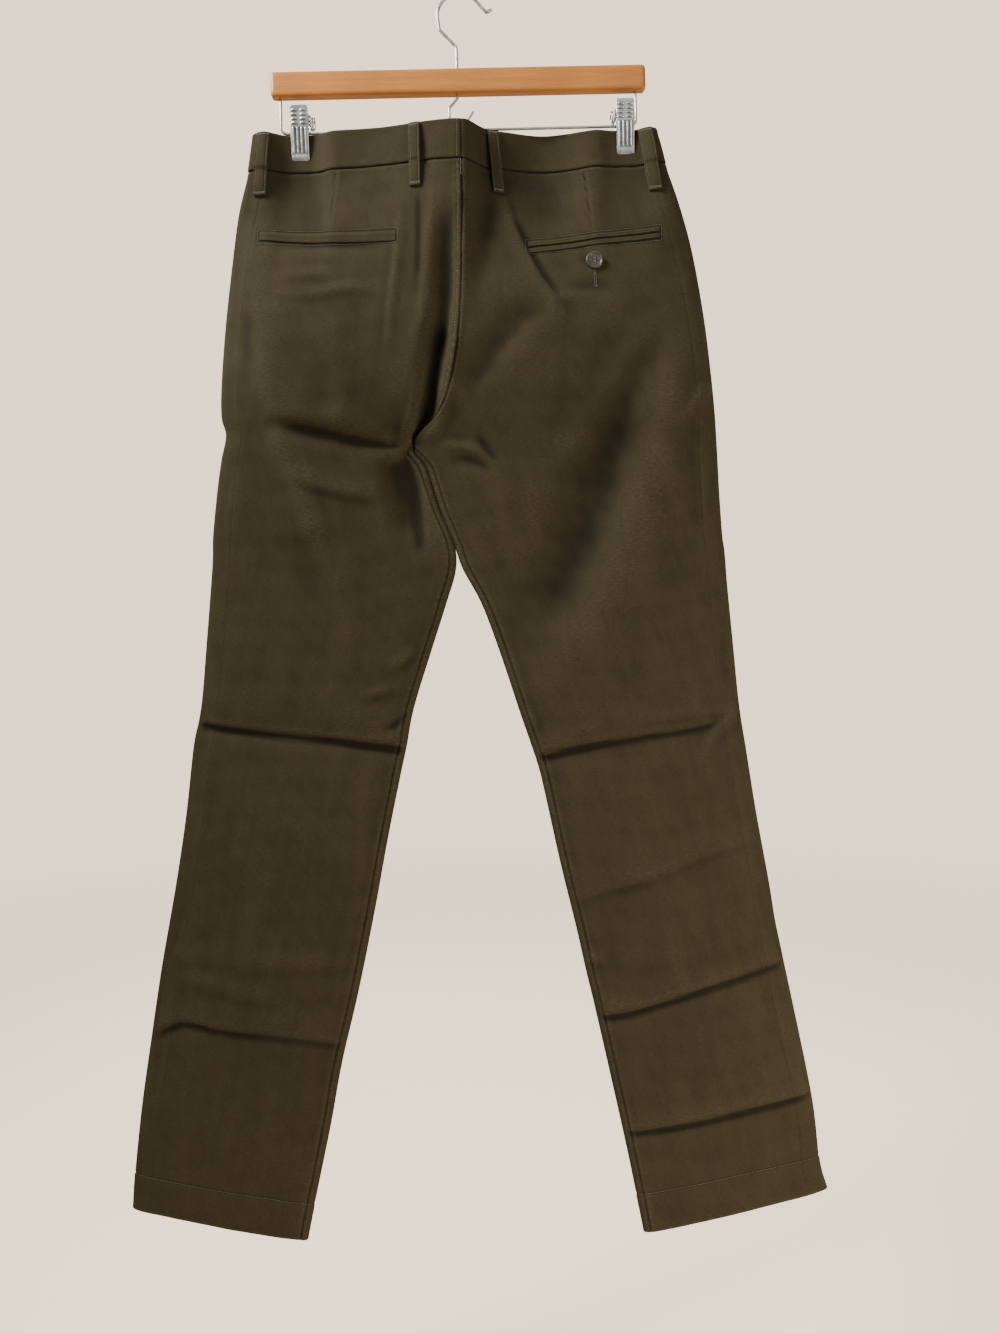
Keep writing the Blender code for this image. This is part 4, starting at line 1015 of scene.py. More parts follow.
def hem_turn(half):
    """The turned-up cloth inside a leg's mouth: a closed ring behind the panels."""
    level, down = panel_rows(half, 3.0)
    keep = down[:, 0] > down[-1, 0] - HEM_HEIGHT - 2.0
    level, down = level[keep], down[keep]
    values = row_values(half, level)
    width, reach = half_width(values), values["reach"]
    even = even_run(reach, 60)
    side = np.concatenate([0 * reach + FOLD_RUN[1:], even, reach - FOLD_RUN[::-1]], axis=1)
    place = np.concatenate([side / width - 1.0, 1.0 - side / width], axis=1)
    seat = np.concatenate([np.ones(side.shape, bool), np.zeros(side.shape, bool)], axis=1)
    hem_up = down[-1] - down
    wall = cloth().wall / MM
    lift = -wall - 0.08 + 0.3 * smooth_step((HEM_HEIGHT - hem_up) / 3.0)
    lift = lift + relief_at(half, level, place, seat)
    outer = ring(half, level, place, seat, lift)
    inner = ring(half, level, place, seat, lift - wall - rounding(hem_up, 0.5))
    return shell(
        "hem_cloth_" + half, outer, inner, nodes=("hem_" + half,), closed=True,
        flip=half == "left", way=(90.0, 40.0))


# ---------------------------------------------------------------- laid pieces
def loop_bow(share):
    """How far a belt loop stands off what it lies on, from its top (0) to its foot (1)."""
    return LOOP_LIFT + LOOP_BOW * np.sin(math.pi * np.clip(1.04 * share, 0.0, 1.0)) ** 0.8


def belt_loop(name, half, side, top_x, foot_x, width):
    """A folded strip bowed off the waistband, its ends stitched down and its two edges
    topstitched. Returns the lines of its stitching and its tacks."""
    seat = side == "seat"
    values = row_values(half, np.array([0.0, 1.0]))
    over = (top_x - values["inner_x"]) / (values["side_x"] - values["inner_x"])
    rim = values["inner_z"] + (values["side_z"] - values["inner_z"]) * over
    if not seat:
        rim = rim - values["fly_drop"] * (1.0 - over) ** 2

    def spots(down, across):
        """Level, place and height of what lies under points of the strip."""
        share = down / LOOP_DROP
        z = rim[0] - LOOP_TOP_DROP - down + 0.0 * across
        x = top_x + (foot_x - top_x) * share + across
        level, place = locate(half, seat, x, z)
        under = (BAND_LIFT + 0.35) * smooth_step((z - rim[1] + 1.5) / 3.0)
        return level, place, under + loop_bow(share)

    down = np.concatenate([[0, .2, .6, 1.2, 2.0], np.linspace(3.2, LOOP_DROP - 3.2, 38),
                           LOOP_DROP - np.array([2.0, 1.2, 0.6, 0.2, 0])])[:, None]
    across = 0.5 * width - np.array([0.0, 0.15, 0.45, 0.9, 1.5, 2.1, 2.7, 3.4])
    across = np.concatenate([-across, [-0.8, 0.8], across[::-1]])
    level, place, bow = spots(down, across)
    edge = np.minimum(0.5 * width - np.abs(across), 9.0)
    end = np.minimum(down, LOOP_DROP - down)
    face = groove(edge - LOOP_STITCH, 0.6, 0.4) + 0.15 * smooth_step((2.0 - edge) / 2.0)
    face = face + groove(end - 2.6, 1.2, 0.3) + 0.45 * (1.0 - (2.0 * across / width) ** 2)
    relief = relief_at(half, level, place, seat)
    outer_lift = face + LOOP_WALL + rounding(edge, 0.8) + rounding(end, 0.7)
    inner_lift = -rounding(edge, 0.5) - rounding(end, 0.4)
    outer = ring(half, level, place, seat, bow + outer_lift + relief)
    inner = ring(half, level, place, seat, bow + inner_lift + relief)
    # Paler along the folded edges and at the ends, as wear, and painted shade in the grooves of
    # the edge stitching.
    wear_and_painted_light = 0.45 * bell((edge - 0.6) / 0.7) + 0.2 * bell(end / 1.5)
    wear_and_painted_light = wear_and_painted_light - 0.5 * bell((edge - LOOP_STITCH) / 0.6)
    shell("cloth_" + name, outer, inner, nodes=(name,), flip=not seat,
          wear_and_painted_light=np.broadcast_to(wear_and_painted_light, level.shape), way=(70.0 + top_x, 900.0))

    def laid(down, across, lift):
        """Lines of points on the strip with the way out of it at each."""
        level, place, bow = spots(down, across)
        return list(zip(*on_surface(half, level, place, seat, bow + LOOP_WALL + lift)))

    edges = np.array([[-1.0], [1.0]]) * (0.5 * width - LOOP_STITCH)
    lines = laid(np.linspace(0.8, LOOP_DROP - 0.8, 80)[None], edges, -0.02)
    feet = np.repeat([2.6, LOOP_DROP - 2.6], 15)[:, None] + np.array([-1.0, 1.0])
    rows = np.tile(np.linspace(-0.5, 0.5, 15), 2)[:, None] * (width - 2.2)
    return lines, laid(feet, rows, 0.1)


def laid_piece(name, half, side, corners, profile, wall=1.0, rows=14):
    """A strip that lies on a panel inside four corners. The profile gives its height
    from how far across (0 to 1) and how far from its nearest end each point is."""
    seat = side == "seat"
    top_left, top_right, low_right, low_left = (np.array(c, float) for c in corners)
    tall = np.linalg.norm(low_left - top_left)
    wide = np.linalg.norm(top_right - top_left)
    columns = max(6, int(max(wide, tall) / 2.2)) if wide > tall else 12
    rows = rows if wide > tall else max(6, int(tall / 2.2))

    def dense(count, length):
        edge = np.array([0.0, 0.15, 0.4, 0.8, 1.3]) / length
        inner = np.linspace(edge[-1], 1.0 - edge[-1], count)
        return np.concatenate([edge[:-1], inner, 1.0 - edge[-2::-1]])

    down = dense(rows, tall)[:, None, None]
    over = dense(columns, wide)[None, :, None]
    flat = (1 - down) * ((1 - over) * top_left + over * top_right) + down * (
        (1 - over) * low_left + over * low_right)
    x, z = flat[..., 0], flat[..., 1]
    down, over = down[..., 0], over[..., 0]
    edge_down = np.minimum(down, 1.0 - down) * tall
    edge_over = np.minimum(over, 1.0 - over) * wide
    height = profile(down * tall, over * wide, tall, wide)
    level, place = locate(half, seat, x, z)
    outer_lift = wall - 0.35 + height + rounding(edge_down, 0.6) + rounding(edge_over, 0.6)
    relief = relief_at(half, level, place, seat)
    outer = ring(half, level, place, seat, outer_lift + relief)
    inner = ring(half, level, place, seat, 0.4 * height + relief - 0.4)
    edge = np.minimum(edge_down, edge_over)
    # Paler just inside the border, as wear, and painted shade along the border itself.
    wear_and_painted_light = 0.35 * bell((edge - 1.5) / 0.8) - 0.7 * bell(edge / 0.6)
    shell("cloth_" + name, outer, inner, nodes=(name,), flip=not seat,
          wear_and_painted_light=wear_and_painted_light + 0 * x, way=(x.mean(), 40.0))


def on_surface(half, level, place, seat, lift):
    """Points on the cloth at these heights, and the way out of it at each."""
    lift = lift + relief_at(half, level, place, seat)
    here = ring(half, level, place, seat, lift)
    out = ring(half, level, place, seat, lift + 1.0) - here
    return here, out / np.linalg.norm(out, axis=-1, keepdims=True)


def path_on_cloth(half, side, points, lift, step=3.0):
    """A line of stitching through points (x, z) on the outline, laid on the cloth."""
    points = np.asarray(points, float)
    spans = np.hypot(*np.diff(points, axis=0).T)
    counts = np.maximum(2, np.ceil(spans / step).astype(int))
    line = np.concatenate([
        start + (end - start) * np.linspace(0.0, 1.0, count, endpoint=False)[:, None]
        for start, end, count in zip(points, points[1:], counts)] + [points[-1:]])
    level, place = locate(half, side == "seat", line[:, 0], line[:, 1])
    return on_surface(half, level, place, side == "seat", lift)


def stitch_spots(lines, pitch, length):
    """The middle, direction and way out of every stitch along lines of stitching, one
    each pitch, and half of each one's length."""
    middles, aims, outs, halves = [], [], [], []
    for points, normals in lines:
        steps = np.linalg.norm(np.diff(points, axis=0), axis=-1)
        run = np.concatenate([[0.0], np.cumsum(steps)])
        count = max(1, int(round(run[-1] / pitch)))
        at = (np.arange(count) + 0.5) * run[-1] / count
        reach = 0.5 * min(length, 1.0 * run[-1])

        def read(values, where):
            return np.stack([np.interp(where, run, column) for column in values.T], axis=-1)

        start, end = read(points, at - reach), read(points, at + reach)
        middles.append(0.5 * (start + end))
        aims.append(end - start)
        outs.append(read(normals, at))
        halves.append(np.full(count, reach))
    return tuple(np.concatenate(group) for group in (middles, aims, outs, halves))


def threads(name, lines, pitch, length, radius):
    """Every stitch of some lines as one piece: a small pod of thread, four rings of six
    points and two tips, whose ends dip into the cloth."""
    middle, aim, out, reach = stitch_spots(lines, pitch, length)
    aim = aim / np.linalg.norm(aim, axis=-1, keepdims=True)
    side = np.cross(aim, out)
    side = side / np.linalg.norm(side, axis=-1, keepdims=True)
    out = np.cross(side, aim)
    stations = np.array([-0.86, -0.45, 0.45, 0.86])
    girth = np.array([0.62, 1.0, 1.0, 0.62])
    angle = np.arange(6) * math.pi / 3.0
    ring_side = (girth[:, None] * np.cos(angle)).ravel() * radius
    ring_out = (girth[:, None] * np.sin(angle)).ravel() * radius * 0.8
    ring_out = ring_out + np.repeat(0.55 * radius * (1.0 - 1.5 * stations**2), 6)
    ring_aim = np.repeat(stations, 6)
    ring_aim = np.concatenate([ring_aim, [-1.0, 1.0]])
    ring_side = np.concatenate([ring_side, [0.0, 0.0]])
    ring_out = np.concatenate([ring_out, [-0.5 * radius, -0.5 * radius]])
    points = (
        middle[:, None] + aim[:, None] * (ring_aim * reach[:, None])[..., None]
        + side[:, None] * ring_side[:, None] + out[:, None] * ring_out[:, None])
    faces = []
    for row in range(3):
        for corner in range(6):
            a, b = row * 6 + corner, row * 6 + (corner + 1) % 6
            faces += [(a, b, b + 6), (a, b + 6, a + 6)]
    for corner in range(6):
        after = (corner + 1) % 6
        faces += [(24, after, corner), (25, 18 + corner, 18 + after)]
    count = len(middle)
    faces = np.array(faces)[None] + 26 * np.arange(count)[:, None, None]
    place_piece(
        name, points, faces.reshape(-1, 3)[:, ::-1].tolist(), "olive thread")


# ---------------------------------------------------------------- buttons
def polar_grid(radii, sides):
    """Rings of points round an axis: angle runs along the columns."""
    angle = 2.0 * math.pi * np.arange(sides) / sides
    return np.asarray(radii)[:, None] * np.cos(angle), np.asarray(radii)[:, None] * np.sin(angle)


def button(name, node, half, side):
    """A four-hole button: a raised rim round a dished middle, its holes pressed
    through, its back closed, with thread crossing the holes. It faces out of the cloth
    at its CAD node's middle."""
    low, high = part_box(node)
    centre = np.array((low + high) / 2) / MM
    at_level, at_place = locate(half, side == "seat", centre[:1], centre[2:])
    _, out = on_surface(half, at_level, at_place, side == "seat", 0.0)
    out = out[0]
    right = np.cross([0.0, 0.0, 1.0], out)
    right = right / np.linalg.norm(right)
    up = np.cross(out, right)
    size, rim = BUTTON["radius"], BUTTON["rim"]
    thick, dish = BUTTON["thickness"], BUTTON["dish"]
    radii = np.concatenate([
        np.arange(0.12, 3.4, 0.16), np.linspace(3.6, size - rim - 0.8, 8),
        size - rim + np.array([-0.5, -0.2, 0.1, 0.4]),
        size + np.array([-1.1, -0.7, -0.4, -0.18, -0.04, 0.0, 0.0, -0.04, -0.3, -0.9]),
        [5.0, 0.12]])
    count = len(radii)
    x, y = polar_grid(radii, 72)
    height = np.full(count, 0.5 * thick)
    height = height - dish * (1.0 - smooth_step((radii - (size - rim - 0.7)) / 1.0))
    edge = np.clip(radii - (size - 0.9), 0.0, 0.9)
    height = height - (0.9 - np.sqrt(np.maximum(0.81 - edge**2, 0.0)))
    height[-6:] = np.array([-0.3, -0.8, -1.1, -1.25, -1.3, -1.3]) * 0.5 * thick / 1.3
    height[-7] = 0.2
    height = height[:, None] + 0 * x
    offset = BUTTON["hole_offset"]
    for hand_x, hand_y in ((1, 1), (1, -1), (-1, 1), (-1, -1)):
        away = np.hypot(x - hand_x * offset, y - hand_y * offset)
        front = np.arange(count)[:, None] < count - 8
        height = height - front * 1.7 * smooth_step((BUTTON["hole"] + 0.18 - away) / 0.3)
    wave = 0.05 * np.sin(2 * np.arctan2(y, x) + radii[:, None])
    height = height + wave
    points = centre + x[..., None] * right + y[..., None] * up + height[..., None] * out
    place_piece(name, points, tube_faces(count, 72), "horn", (node,))
    lines = []
    for hand in (-1.0, 1.0):
        for strand in (-0.32, 0.0, 0.32):
            ends = np.array([[-offset, hand * offset + strand], [offset, hand * offset + strand]])
            ends = ends * [1.15, 1.0]
            spot = centre + ends[:, :1] * right + ends[:, 1:] * up + (0.5 * thick - dish) * out
            lines.append((spot, np.stack([out, out])))
    threads(name + "_thread", lines, 9.0, 5.4, 0.34)


# ---------------------------------------------------------------- wires and the bar
def filleted(points, radius, steps=8):
    """A path through points whose inner corners are arcs of this radius."""
    points = [Vector(point) for point in points]
    path = [points[0]]
    for before, corner, after in zip(points, points[1:], points[2:]):
        back, ahead = (before - corner).normalized(), (after - corner).normalized()
        half_angle = back.angle(ahead) / 2.0
        if half_angle > math.radians(89.0):
            path.append(corner)
            continue
        reach = min(radius / math.tan(half_angle), 0.45 * min(
            (before - corner).length, (after - corner).length))
        centre = corner + (back + ahead).normalized() * reach / math.cos(half_angle)
        start, end = corner + back * reach - centre, corner + ahead * reach - centre
        sweep = start.angle(end)
        for step in range(steps + 1):
            share = step / steps
            path.append(centre + (
                start * math.sin((1.0 - share) * sweep) + end * math.sin(share * sweep)
            ) / math.sin(sweep))
    path.append(points[-1])
    return np.array(path)


def wire(name, path, radius, nodes=(), upright=(0.0, 1.0, 0.0), sides=18):
    """A round wire: a circle carried along a path, square to it, with domed ends."""
    path = np.asarray(path, float)
    keep = np.concatenate([[True], np.linalg.norm(np.diff(path, axis=0), axis=-1) > 1e-4])
    path = path[keep]
    aim = np.gradient(path, axis=0)
    aim = aim / np.linalg.norm(aim, axis=-1, keepdims=True)
    dome = np.array([1.0, 0.92, 0.7, 0.38])
    girth = np.concatenate([[0.15, 0.5, 0.8, 0.95], np.ones(len(path)), [0.95, 0.8, 0.5, 0.15]])
    ends = radius * dome
    path = np.concatenate([
        path[:1] - aim[:1] * ends[:, None], path, path[-1:] + aim[-1:] * ends[::-1, None]])
    aim = np.concatenate([aim[:1]] * 4 + [aim] + [aim[-1:]] * 4)
    upright = np.asarray(upright, float)
    up = upright - aim * (aim @ upright)[:, None]
    up = up / np.linalg.norm(up, axis=-1, keepdims=True)
    side = np.cross(aim, up)
    angle = 2.0 * math.pi * np.arange(sides) / sides
    spoke = (up[:, None] * np.cos(angle)[:, None] + side[:, None] * np.sin(angle)[:, None])
    points = path[:, None] + spoke * (radius * girth)[:, None, None]
    return place_piece(name, points, tube_faces(len(path), sides), "bright steel",
                       nodes)


def middle_of(node):
    """The middle and the size (mm) of a CAD node's box."""
    low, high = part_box(node)
    return np.array((low + high) / 2) / MM, np.array(high - low) / MM


def hanger_bar():
    """The wooden bar: a rounded oblong carried along its length, its ends rounded over and its
    height waving faintly along it."""
    centre, size = middle_of("hanger_bar")
    reach, deep, tall = size / 2.0
    end = 4.0
    turned = np.linspace(0.5 * math.pi, 0.0, 9)
    station = reach - end + end * np.sin(turned)
    inset = end * (1.0 - np.cos(turned))
    middle = np.linspace(reach - end, end - reach, 61)[1:-1]
    x = np.concatenate([station, middle, -station[::-1]])
    inset = np.concatenate([inset, 0 * middle, inset[::-1]])
    angle = 2.0 * math.pi * (np.arange(64) + 0.5) / 64.0
    power = 2.0 / 5.2
    round_y = np.sign(np.cos(angle)) * np.abs(np.cos(angle)) ** power
    round_z = np.sign(np.sin(angle)) * np.abs(np.sin(angle)) ** power
    worn = 0.12 * np.sin(x / 47.0) + 0.08 * np.sin(x / 21.0 + 1.0)
    y = (deep - inset[:, None]) * round_y
    z = (tall - inset[:, None] + 0.5 * worn[:, None] * (inset[:, None] < 0.1)) * round_z
    points = centre + np.stack([x[:, None] + 0 * y, y, z], axis=-1)
    place_piece("bar_wood", points, tube_faces(len(x), 64), "honey wood",
                ("hanger_bar",))
    collar = centre + [STEM_X - centre[0], 0.0, tall + 0.2]
    radii = np.array([1.7, 2.5, 2.9, 3.0, 3.0])
    rise = np.array([0.75, 0.7, 0.45, 0.1, -1.5])
    x, y = polar_grid(radii, 24)
    rings = collar + np.stack([x, y, rise[:, None] + 0 * x], axis=-1)
    place_piece("hook_ferrule", rings, tube_faces(5, 24, outward=False), "bright steel")


def hanger_wires():
    """The hook with its cranked stem and turned-up tip, the small hook under the bar
    and the rail that carries the clips."""
    centre, size = middle_of("hanger_bar")
    bottom = centre[2] - size[2] / 2
    ring_z, radius = HOOK_RING["centre_z"], HOOK_RING["radius"]
    angles = np.radians(np.linspace(HOOK_RING["from_deg"], HOOK_RING["to_deg"], 60))
    arc = np.stack([radius * np.cos(angles), 0 * angles, ring_z + radius * np.sin(angles)], -1)
    stem = filleted([(STEM_X, 0, centre[2]), (STEM_X, 0, -52), (-20.5, 0, -34), arc[0]], 7.0)
    tip = filleted([arc[-1], (27, 0, -18), (31.5, 0, -15.5)], 2.5)
    wire("hook_wire", np.concatenate([stem[:-1], arc, tip[1:]]), HOOK_WIRE, ("hanger_hook",))
    (middle_x, middle_z), y = SMALL_HOOK["centre"], SMALL_HOOK["y"]
    radius = SMALL_HOOK["radius"]
    angles = np.radians(np.linspace(190.0, 330.0, 30))
    bowl = np.stack([middle_x + radius * np.cos(angles), y + 0 * angles,
                     middle_z + radius * np.sin(angles)], -1)
    stem = filleted([(STEM_X, 0, centre[2] - 1), (STEM_X, 0, -103),
                     (middle_x - radius, y, -115), bowl[0]], 4.0)
    wire("small_hook_wire", np.concatenate([stem[:-1], bowl, [(11.5, y, -119.0)]]),
         RAIL_WIRE, ("small_hook",))
    rail = filleted([
        (RAIL["left"], 0, bottom + 6), (RAIL["left"], 0, RAIL["z_left"]),
        (RAIL["right"], 0, RAIL["z_right"]), (RAIL["right"], 0, bottom + 6)], RAIL["corner"], 12)
    wire("rail_wire", rail, RAIL_WIRE, ("clip_rail",))


# ---------------------------------------------------------------- clips
def jaw_relief(x, down, wide, tall):
    """What is pressed into a jaw: two columns of four ovals at the grip, four long ribs below
    them and a row of small teeth above the bite. Returns the height and the painted shade: a
    painted shadow in a slit below each oval and painted shade in the hollows between the ribs."""
    relief = np.zeros(x.shape)
    painted_hollow_shade = np.zeros(x.shape)
    for column in (-0.235, 0.235):
        for row in range(4):
            off_x, off_z = (x - column * wide) / 3.3, down - 4.6 - 4.1 * row
            away = off_x**2 + (off_z / 1.35) ** 2
            relief += 0.75 * np.sqrt(np.clip(1.0 - away, 0.0, 1.0))
            # Painted shadow in a slit just below each oval.
            painted_hollow_shade -= 0.85 * np.exp(-((0.95 * off_x) ** 4) - ((off_z - 1.5) / 0.5) ** 2)
    for rib in (-0.33, -0.11, 0.11, 0.33):
        ends = smooth_step((down - 20.5) / 1.5) * smooth_step((tall - 6.0 - down) / 1.5)
        relief += 0.55 * ends * np.exp(-(((x - rib * wide) / 0.75) ** 4))
    for number in range(5):
        away = ((x - (number - 2) * 0.17 * wide) / 1.25) ** 2
        relief += 0.4 * np.exp(-away - ((down - tall + 3.6) / 0.8) ** 2)
    # Painted shade in the hollows between the ribs.
    ribbed = smooth_step((down - 20.0) / 1.5) * smooth_step((tall - 5.5 - down) / 1.5)
    ribbed = ribbed * (np.abs(x) < 0.4 * wide)
    return relief, painted_hollow_shade - 0.75 * ribbed * bell(relief / 0.22)


def clip_jaw(name, node, front):
    """One jaw of a clip: a pressed plate that leans in from the grip to the bite, its
    corners rounded and a lip turned back down each side."""
    centre, size = middle_of(node)
    wide, tall = size[0], size[2]
    top = centre[2] + tall / 2
    down = np.concatenate([[0, .15, .4, .8], np.linspace(1.3, tall - 1.3, 118),
                           tall - np.array([.8, .4, .15, 0])])[:, None]
    lip_run = np.array([0.0, 0.5, 1.0, 1.5, 2.0, 2.6])
    face = 0.5 * wide - 0.5
    across = np.concatenate([-face + 0 * lip_run, [-face + 0.12, -face + 0.35],
                             np.linspace(0.75 - face, face - 0.75, 58),
                             [face - 0.35, face - 0.12], face + 0 * lip_run])
    back = np.concatenate([3.0 - lip_run, [0.14, 0.03], np.zeros(58), [0.03, 0.14],
                           lip_run + 0.4])
    back[5], back[len(back) - 6] = 0.4, 0.4
    share = down / tall
    lip = np.clip(np.sin(math.pi * np.clip(share * 1.5, 0.0, 1.0)), 0.12, 1.0)
    corner = 2.2
    edge_down = np.minimum(down, tall - down)
    narrow = corner - np.sqrt(corner**2 - np.clip(corner - edge_down, 0.0, corner) ** 2)
    x = across * (1.0 - narrow / face)
    slope = (JAW_Y["top"] - JAW_Y["foot"]) / tall
    lean = JAW_Y["top"] - slope * down
    bowed = 0.5 * np.sin(math.pi * share)
    relief, painted_hollow_shade = jaw_relief(x, down + 0 * x, wide, tall)
    relief = relief * (np.abs(across) < face - 0.3)
    out = lean + bowed + relief - back * lip - 0.25 * (np.abs(x) / face) ** 4
    bite = bell((tall - down) / 1.2)
    out = out - 0.8 * bite
    sign = -1.0 if front else 1.0
    grid = np.stack([centre[0] + x, sign * out, top - down + 0 * x], axis=-1)
    thin = grid - [0.0, sign * 0.8, 0.0]
    inward = 0.6 * np.sign(across) * (np.abs(across) > face - 0.05)
    thin[..., 0] = thin[..., 0] - inward
    thin[..., 1] = thin[..., 1] + sign * 0.75 * (np.abs(inward) > 0)
    # The jaw's painted shade goes to the steel's finish as the piece's attribute.
    return shell(name, grid, thin, "bright steel", "zinc_plated_steel", (node,),
                 flip=not front, wear_and_painted_light=np.clip(painted_hollow_shade, -1.0, 0.0))


def clip_spring(name, node, x, inward):
    """A coil beside the jaws whose end runs on as the pin between them."""
    radius, turns, pitch = SPRING["radius"], SPRING["turns"], SPRING["pitch"]
    wide = middle_of("clip_left_outer_jaw")[1][0]
    start = x + inward * (wide / 2 + 1.2 + pitch * turns)
    angles = np.linspace(0.0, 2 * math.pi * turns, int(30 * turns) + 1)
    coil = np.stack([
        start - inward * pitch * angles / (2 * math.pi), -radius * np.cos(angles),
        SPRING["z"] + radius * np.sin(angles)], -1)
    end_x = coil[-1, 0]
    pin = np.array([
        (end_x - inward * 0.5, -radius * 0.55, SPRING["z"]),
        (end_x - inward * 1.6, 0.0, SPRING["z"]),
        (x - inward * wide / 2, 0.0, SPRING["z"])])
    wire(name, np.concatenate([coil, pin]), SPRING["wire"], (node,),
         upright=(0.3, 0.2, 1.0), sides=12)


# ---------------------------------------------------------------- finishes
class Finish:
    """A node material and the means to add linked nodes to it. Names of sockets are
    written with _ for a space."""

    def __init__(self, name, **constants):
        """A new material with these values on the shader's own sockets."""
        self.material = bpy.data.materials.new(name)
        self.material.use_nodes = True
        self.nodes = self.material.node_tree.nodes
        self.shader = self.nodes["Principled BSDF"]
        self.fill(self.shader, constants)

    def feed(self, socket, value):
        """Links an output to a socket, or sets the socket's own value."""
        if isinstance(value, bpy.types.NodeSocket):
            self.material.node_tree.links.new(value, socket)
        else:
            socket.default_value = value

    def fill(self, made, values):
        """Sets a node's properties, and feeds its sockets by name."""
        for key, value in values.items():
            if key in made.bl_rna.properties:
                setattr(made, key, value)
            else:
                self.feed(made.inputs[key.replace("_", " ")], value)

    def node(self, kind, **values):
        made = self.nodes.new("ShaderNode" + kind)
        self.fill(made, values)
        return made

    def where(self):
        """The place on the object, the same for every piece in the frame."""
        return self.node("TexCoord").outputs["Object"]

    def wear_and_painted_light(self):
        """The piece's own attribute: lighter above nought, as wear and painted highlight, and
        painted shade below nought.
        """
        return self.node("Attribute", attribute_name="wear_and_painted_light").outputs["Fac"]

    def math(self, operation, *values):
        made = self.node("Math", operation=operation)
        for socket, value in zip(made.inputs, values):
            self.feed(socket, value)
        return made.outputs[0]

    def noise(self, source, **values):
        return self.node("TexNoise", Vector=source, **values).outputs["Fac"]

    def mixed(self, kind, first, second, share=1.0):
        made = self.node("Mix", data_type="RGBA", blend_type=kind)
        self.fill(made, {"Factor": share, "A": first, "B": second})
        return made.outputs["Result"]

    def ramp(self, source, *stops):
        """A colour ramp with these stops of (place, value or colour)."""
        made = self.node("ValToRGB")
        self.feed(made.inputs[0], source)
        elements = made.color_ramp.elements
        while len(elements) < len(stops):
            elements.new(0.5)
        for element, (at, colour) in zip(elements, stops):
            colour = (colour,) * 3 if isinstance(colour, float) else colour
            element.position, element.color = at, (*colour, 1.0)
        return made.outputs[0]

    def spread(self, source, from_low, from_high, to_low, to_high, **values):
        """Rescales a value from one range to another and holds it there."""
        values |= {"Value": source, "From_Min": from_low, "From_Max": from_high,
                   "To_Min": to_low, "To_Max": to_high}
        return self.node("MapRange", **values).outputs[0]

    def bump(self, height, strength, distance):
        made = self.node("Bump", Strength=strength, Distance=distance, Height=height)
        self.fill(self.shader, {"Normal": made.outputs[0]})


def twill_finish(name):
    """Cotton twill: a steep diagonal rib on the weave's map, heathered yarns, broad uneven dye,
    paler worn edges and crests that are partly painted highlight, and painted shade where the
    piece's attribute falls below nought, with the rib and the yarns in its bump."""
    settings = cloth()
    finish = Finish(name, Specular_IOR_Level=0.12, Sheen_Weight=settings.sheen,
                    Sheen_Roughness=0.45, Sheen_Tint=(0.86, 0.80, 0.66, 1.0))
    weave = finish.node("UVMap", uv_map="weave").outputs[0]
    across, down = finish.node("SeparateXYZ", Vector=weave).outputs[:2]

    def sine(over, along):
        """Sine of 2 pi (u over + v along)."""
        first = finish.math("MULTIPLY", across, 2.0 * math.pi * over)
        return finish.math(
            "SINE", finish.math("MULTIPLY_ADD", down, 2.0 * math.pi * along, first))

    def speckle(scale, stretch, detail=3.0):
        """Noise drawn out along the warp or the weft."""
        turned = finish.node("Mapping", Vector=weave, Scale=stretch).outputs[0]
        return finish.noise(turned, Scale=scale, Detail=detail, Roughness=0.6)

    count = 1.0 / settings.twill_pitch
    rib = finish.math("MULTIPLY_ADD", sine(0.88 * count, -0.47 * count), 0.5, 0.5)
    warp, weft = speckle(900.0, (1.0, 0.22, 1.0)), speckle(800.0, (0.25, 1.0, 1.0))
    heather = finish.math("MULTIPLY", finish.math("ADD", warp, weft), 0.5)
    dye = finish.ramp(speckle(16.0, (3.0, 0.45, 1.0), 6.0), (0.3, 0.84), (0.72, 1.12))
    colour = (*settings.colour, 1.0)
    for shade, share in (
            (dye, 1.0), (finish.ramp(heather, (0.33, 0.70), (0.67, 1.30)), 0.85),
            (finish.ramp(rib, (0.0, 0.90), (1.0, 1.08)), 0.8)):
        colour = finish.mixed("MULTIPLY", colour, shade, share)
    wear_and_painted_light = finish.wear_and_painted_light()
    # Above nought the attribute mixes in the paler colour: wear at edges and seams, painted
    # highlight on crests.
    worn_and_highlight_share = finish.math("MULTIPLY", wear_and_painted_light, finish.ramp(weft, (0.35, 0.0), (0.7, 0.6)))
    colour = finish.mixed("MIX", colour, (*settings.worn_and_highlight_colour, 1.0), worn_and_highlight_share)
    # Below nought the attribute darkens the colour, down to a quarter: painted shade.
    colour = finish.mixed("MULTIPLY", colour, finish.spread(wear_and_painted_light, -1.0, 0.0, 0.25, 1.0))
    finish.fill(finish.shader, {
        "Base Color": colour, "Roughness": finish.ramp(heather, (0.3, 0.80), (0.7, 0.95))})
    height = finish.math("MULTIPLY_ADD", rib, 0.5, heather)
    yarn = sine(0.25 * count, 2.2 * count)
    finish.bump(finish.math("MULTIPLY_ADD", yarn, 0.18, height), 0.6, 0.00012)
    return finish.material


def thread_finish(name):
    """Spun thread, a shade paler than the cloth, with a fine mottle."""
    finish = Finish(name, Roughness=0.75, Sheen_Weight=0.3)
    grain = finish.noise(finish.where(), Scale=1400.0, Detail=2.0)
    thread = np.array(cloth().thread_colour)
    tone = finish.ramp(grain, (0.3, tuple(0.72 * thread)), (0.7, tuple(1.25 * thread)))
    finish.fill(finish.shader, {"Base Color": tone})
    finish.bump(grain, 0.5, 0.0001)
    return finish.material


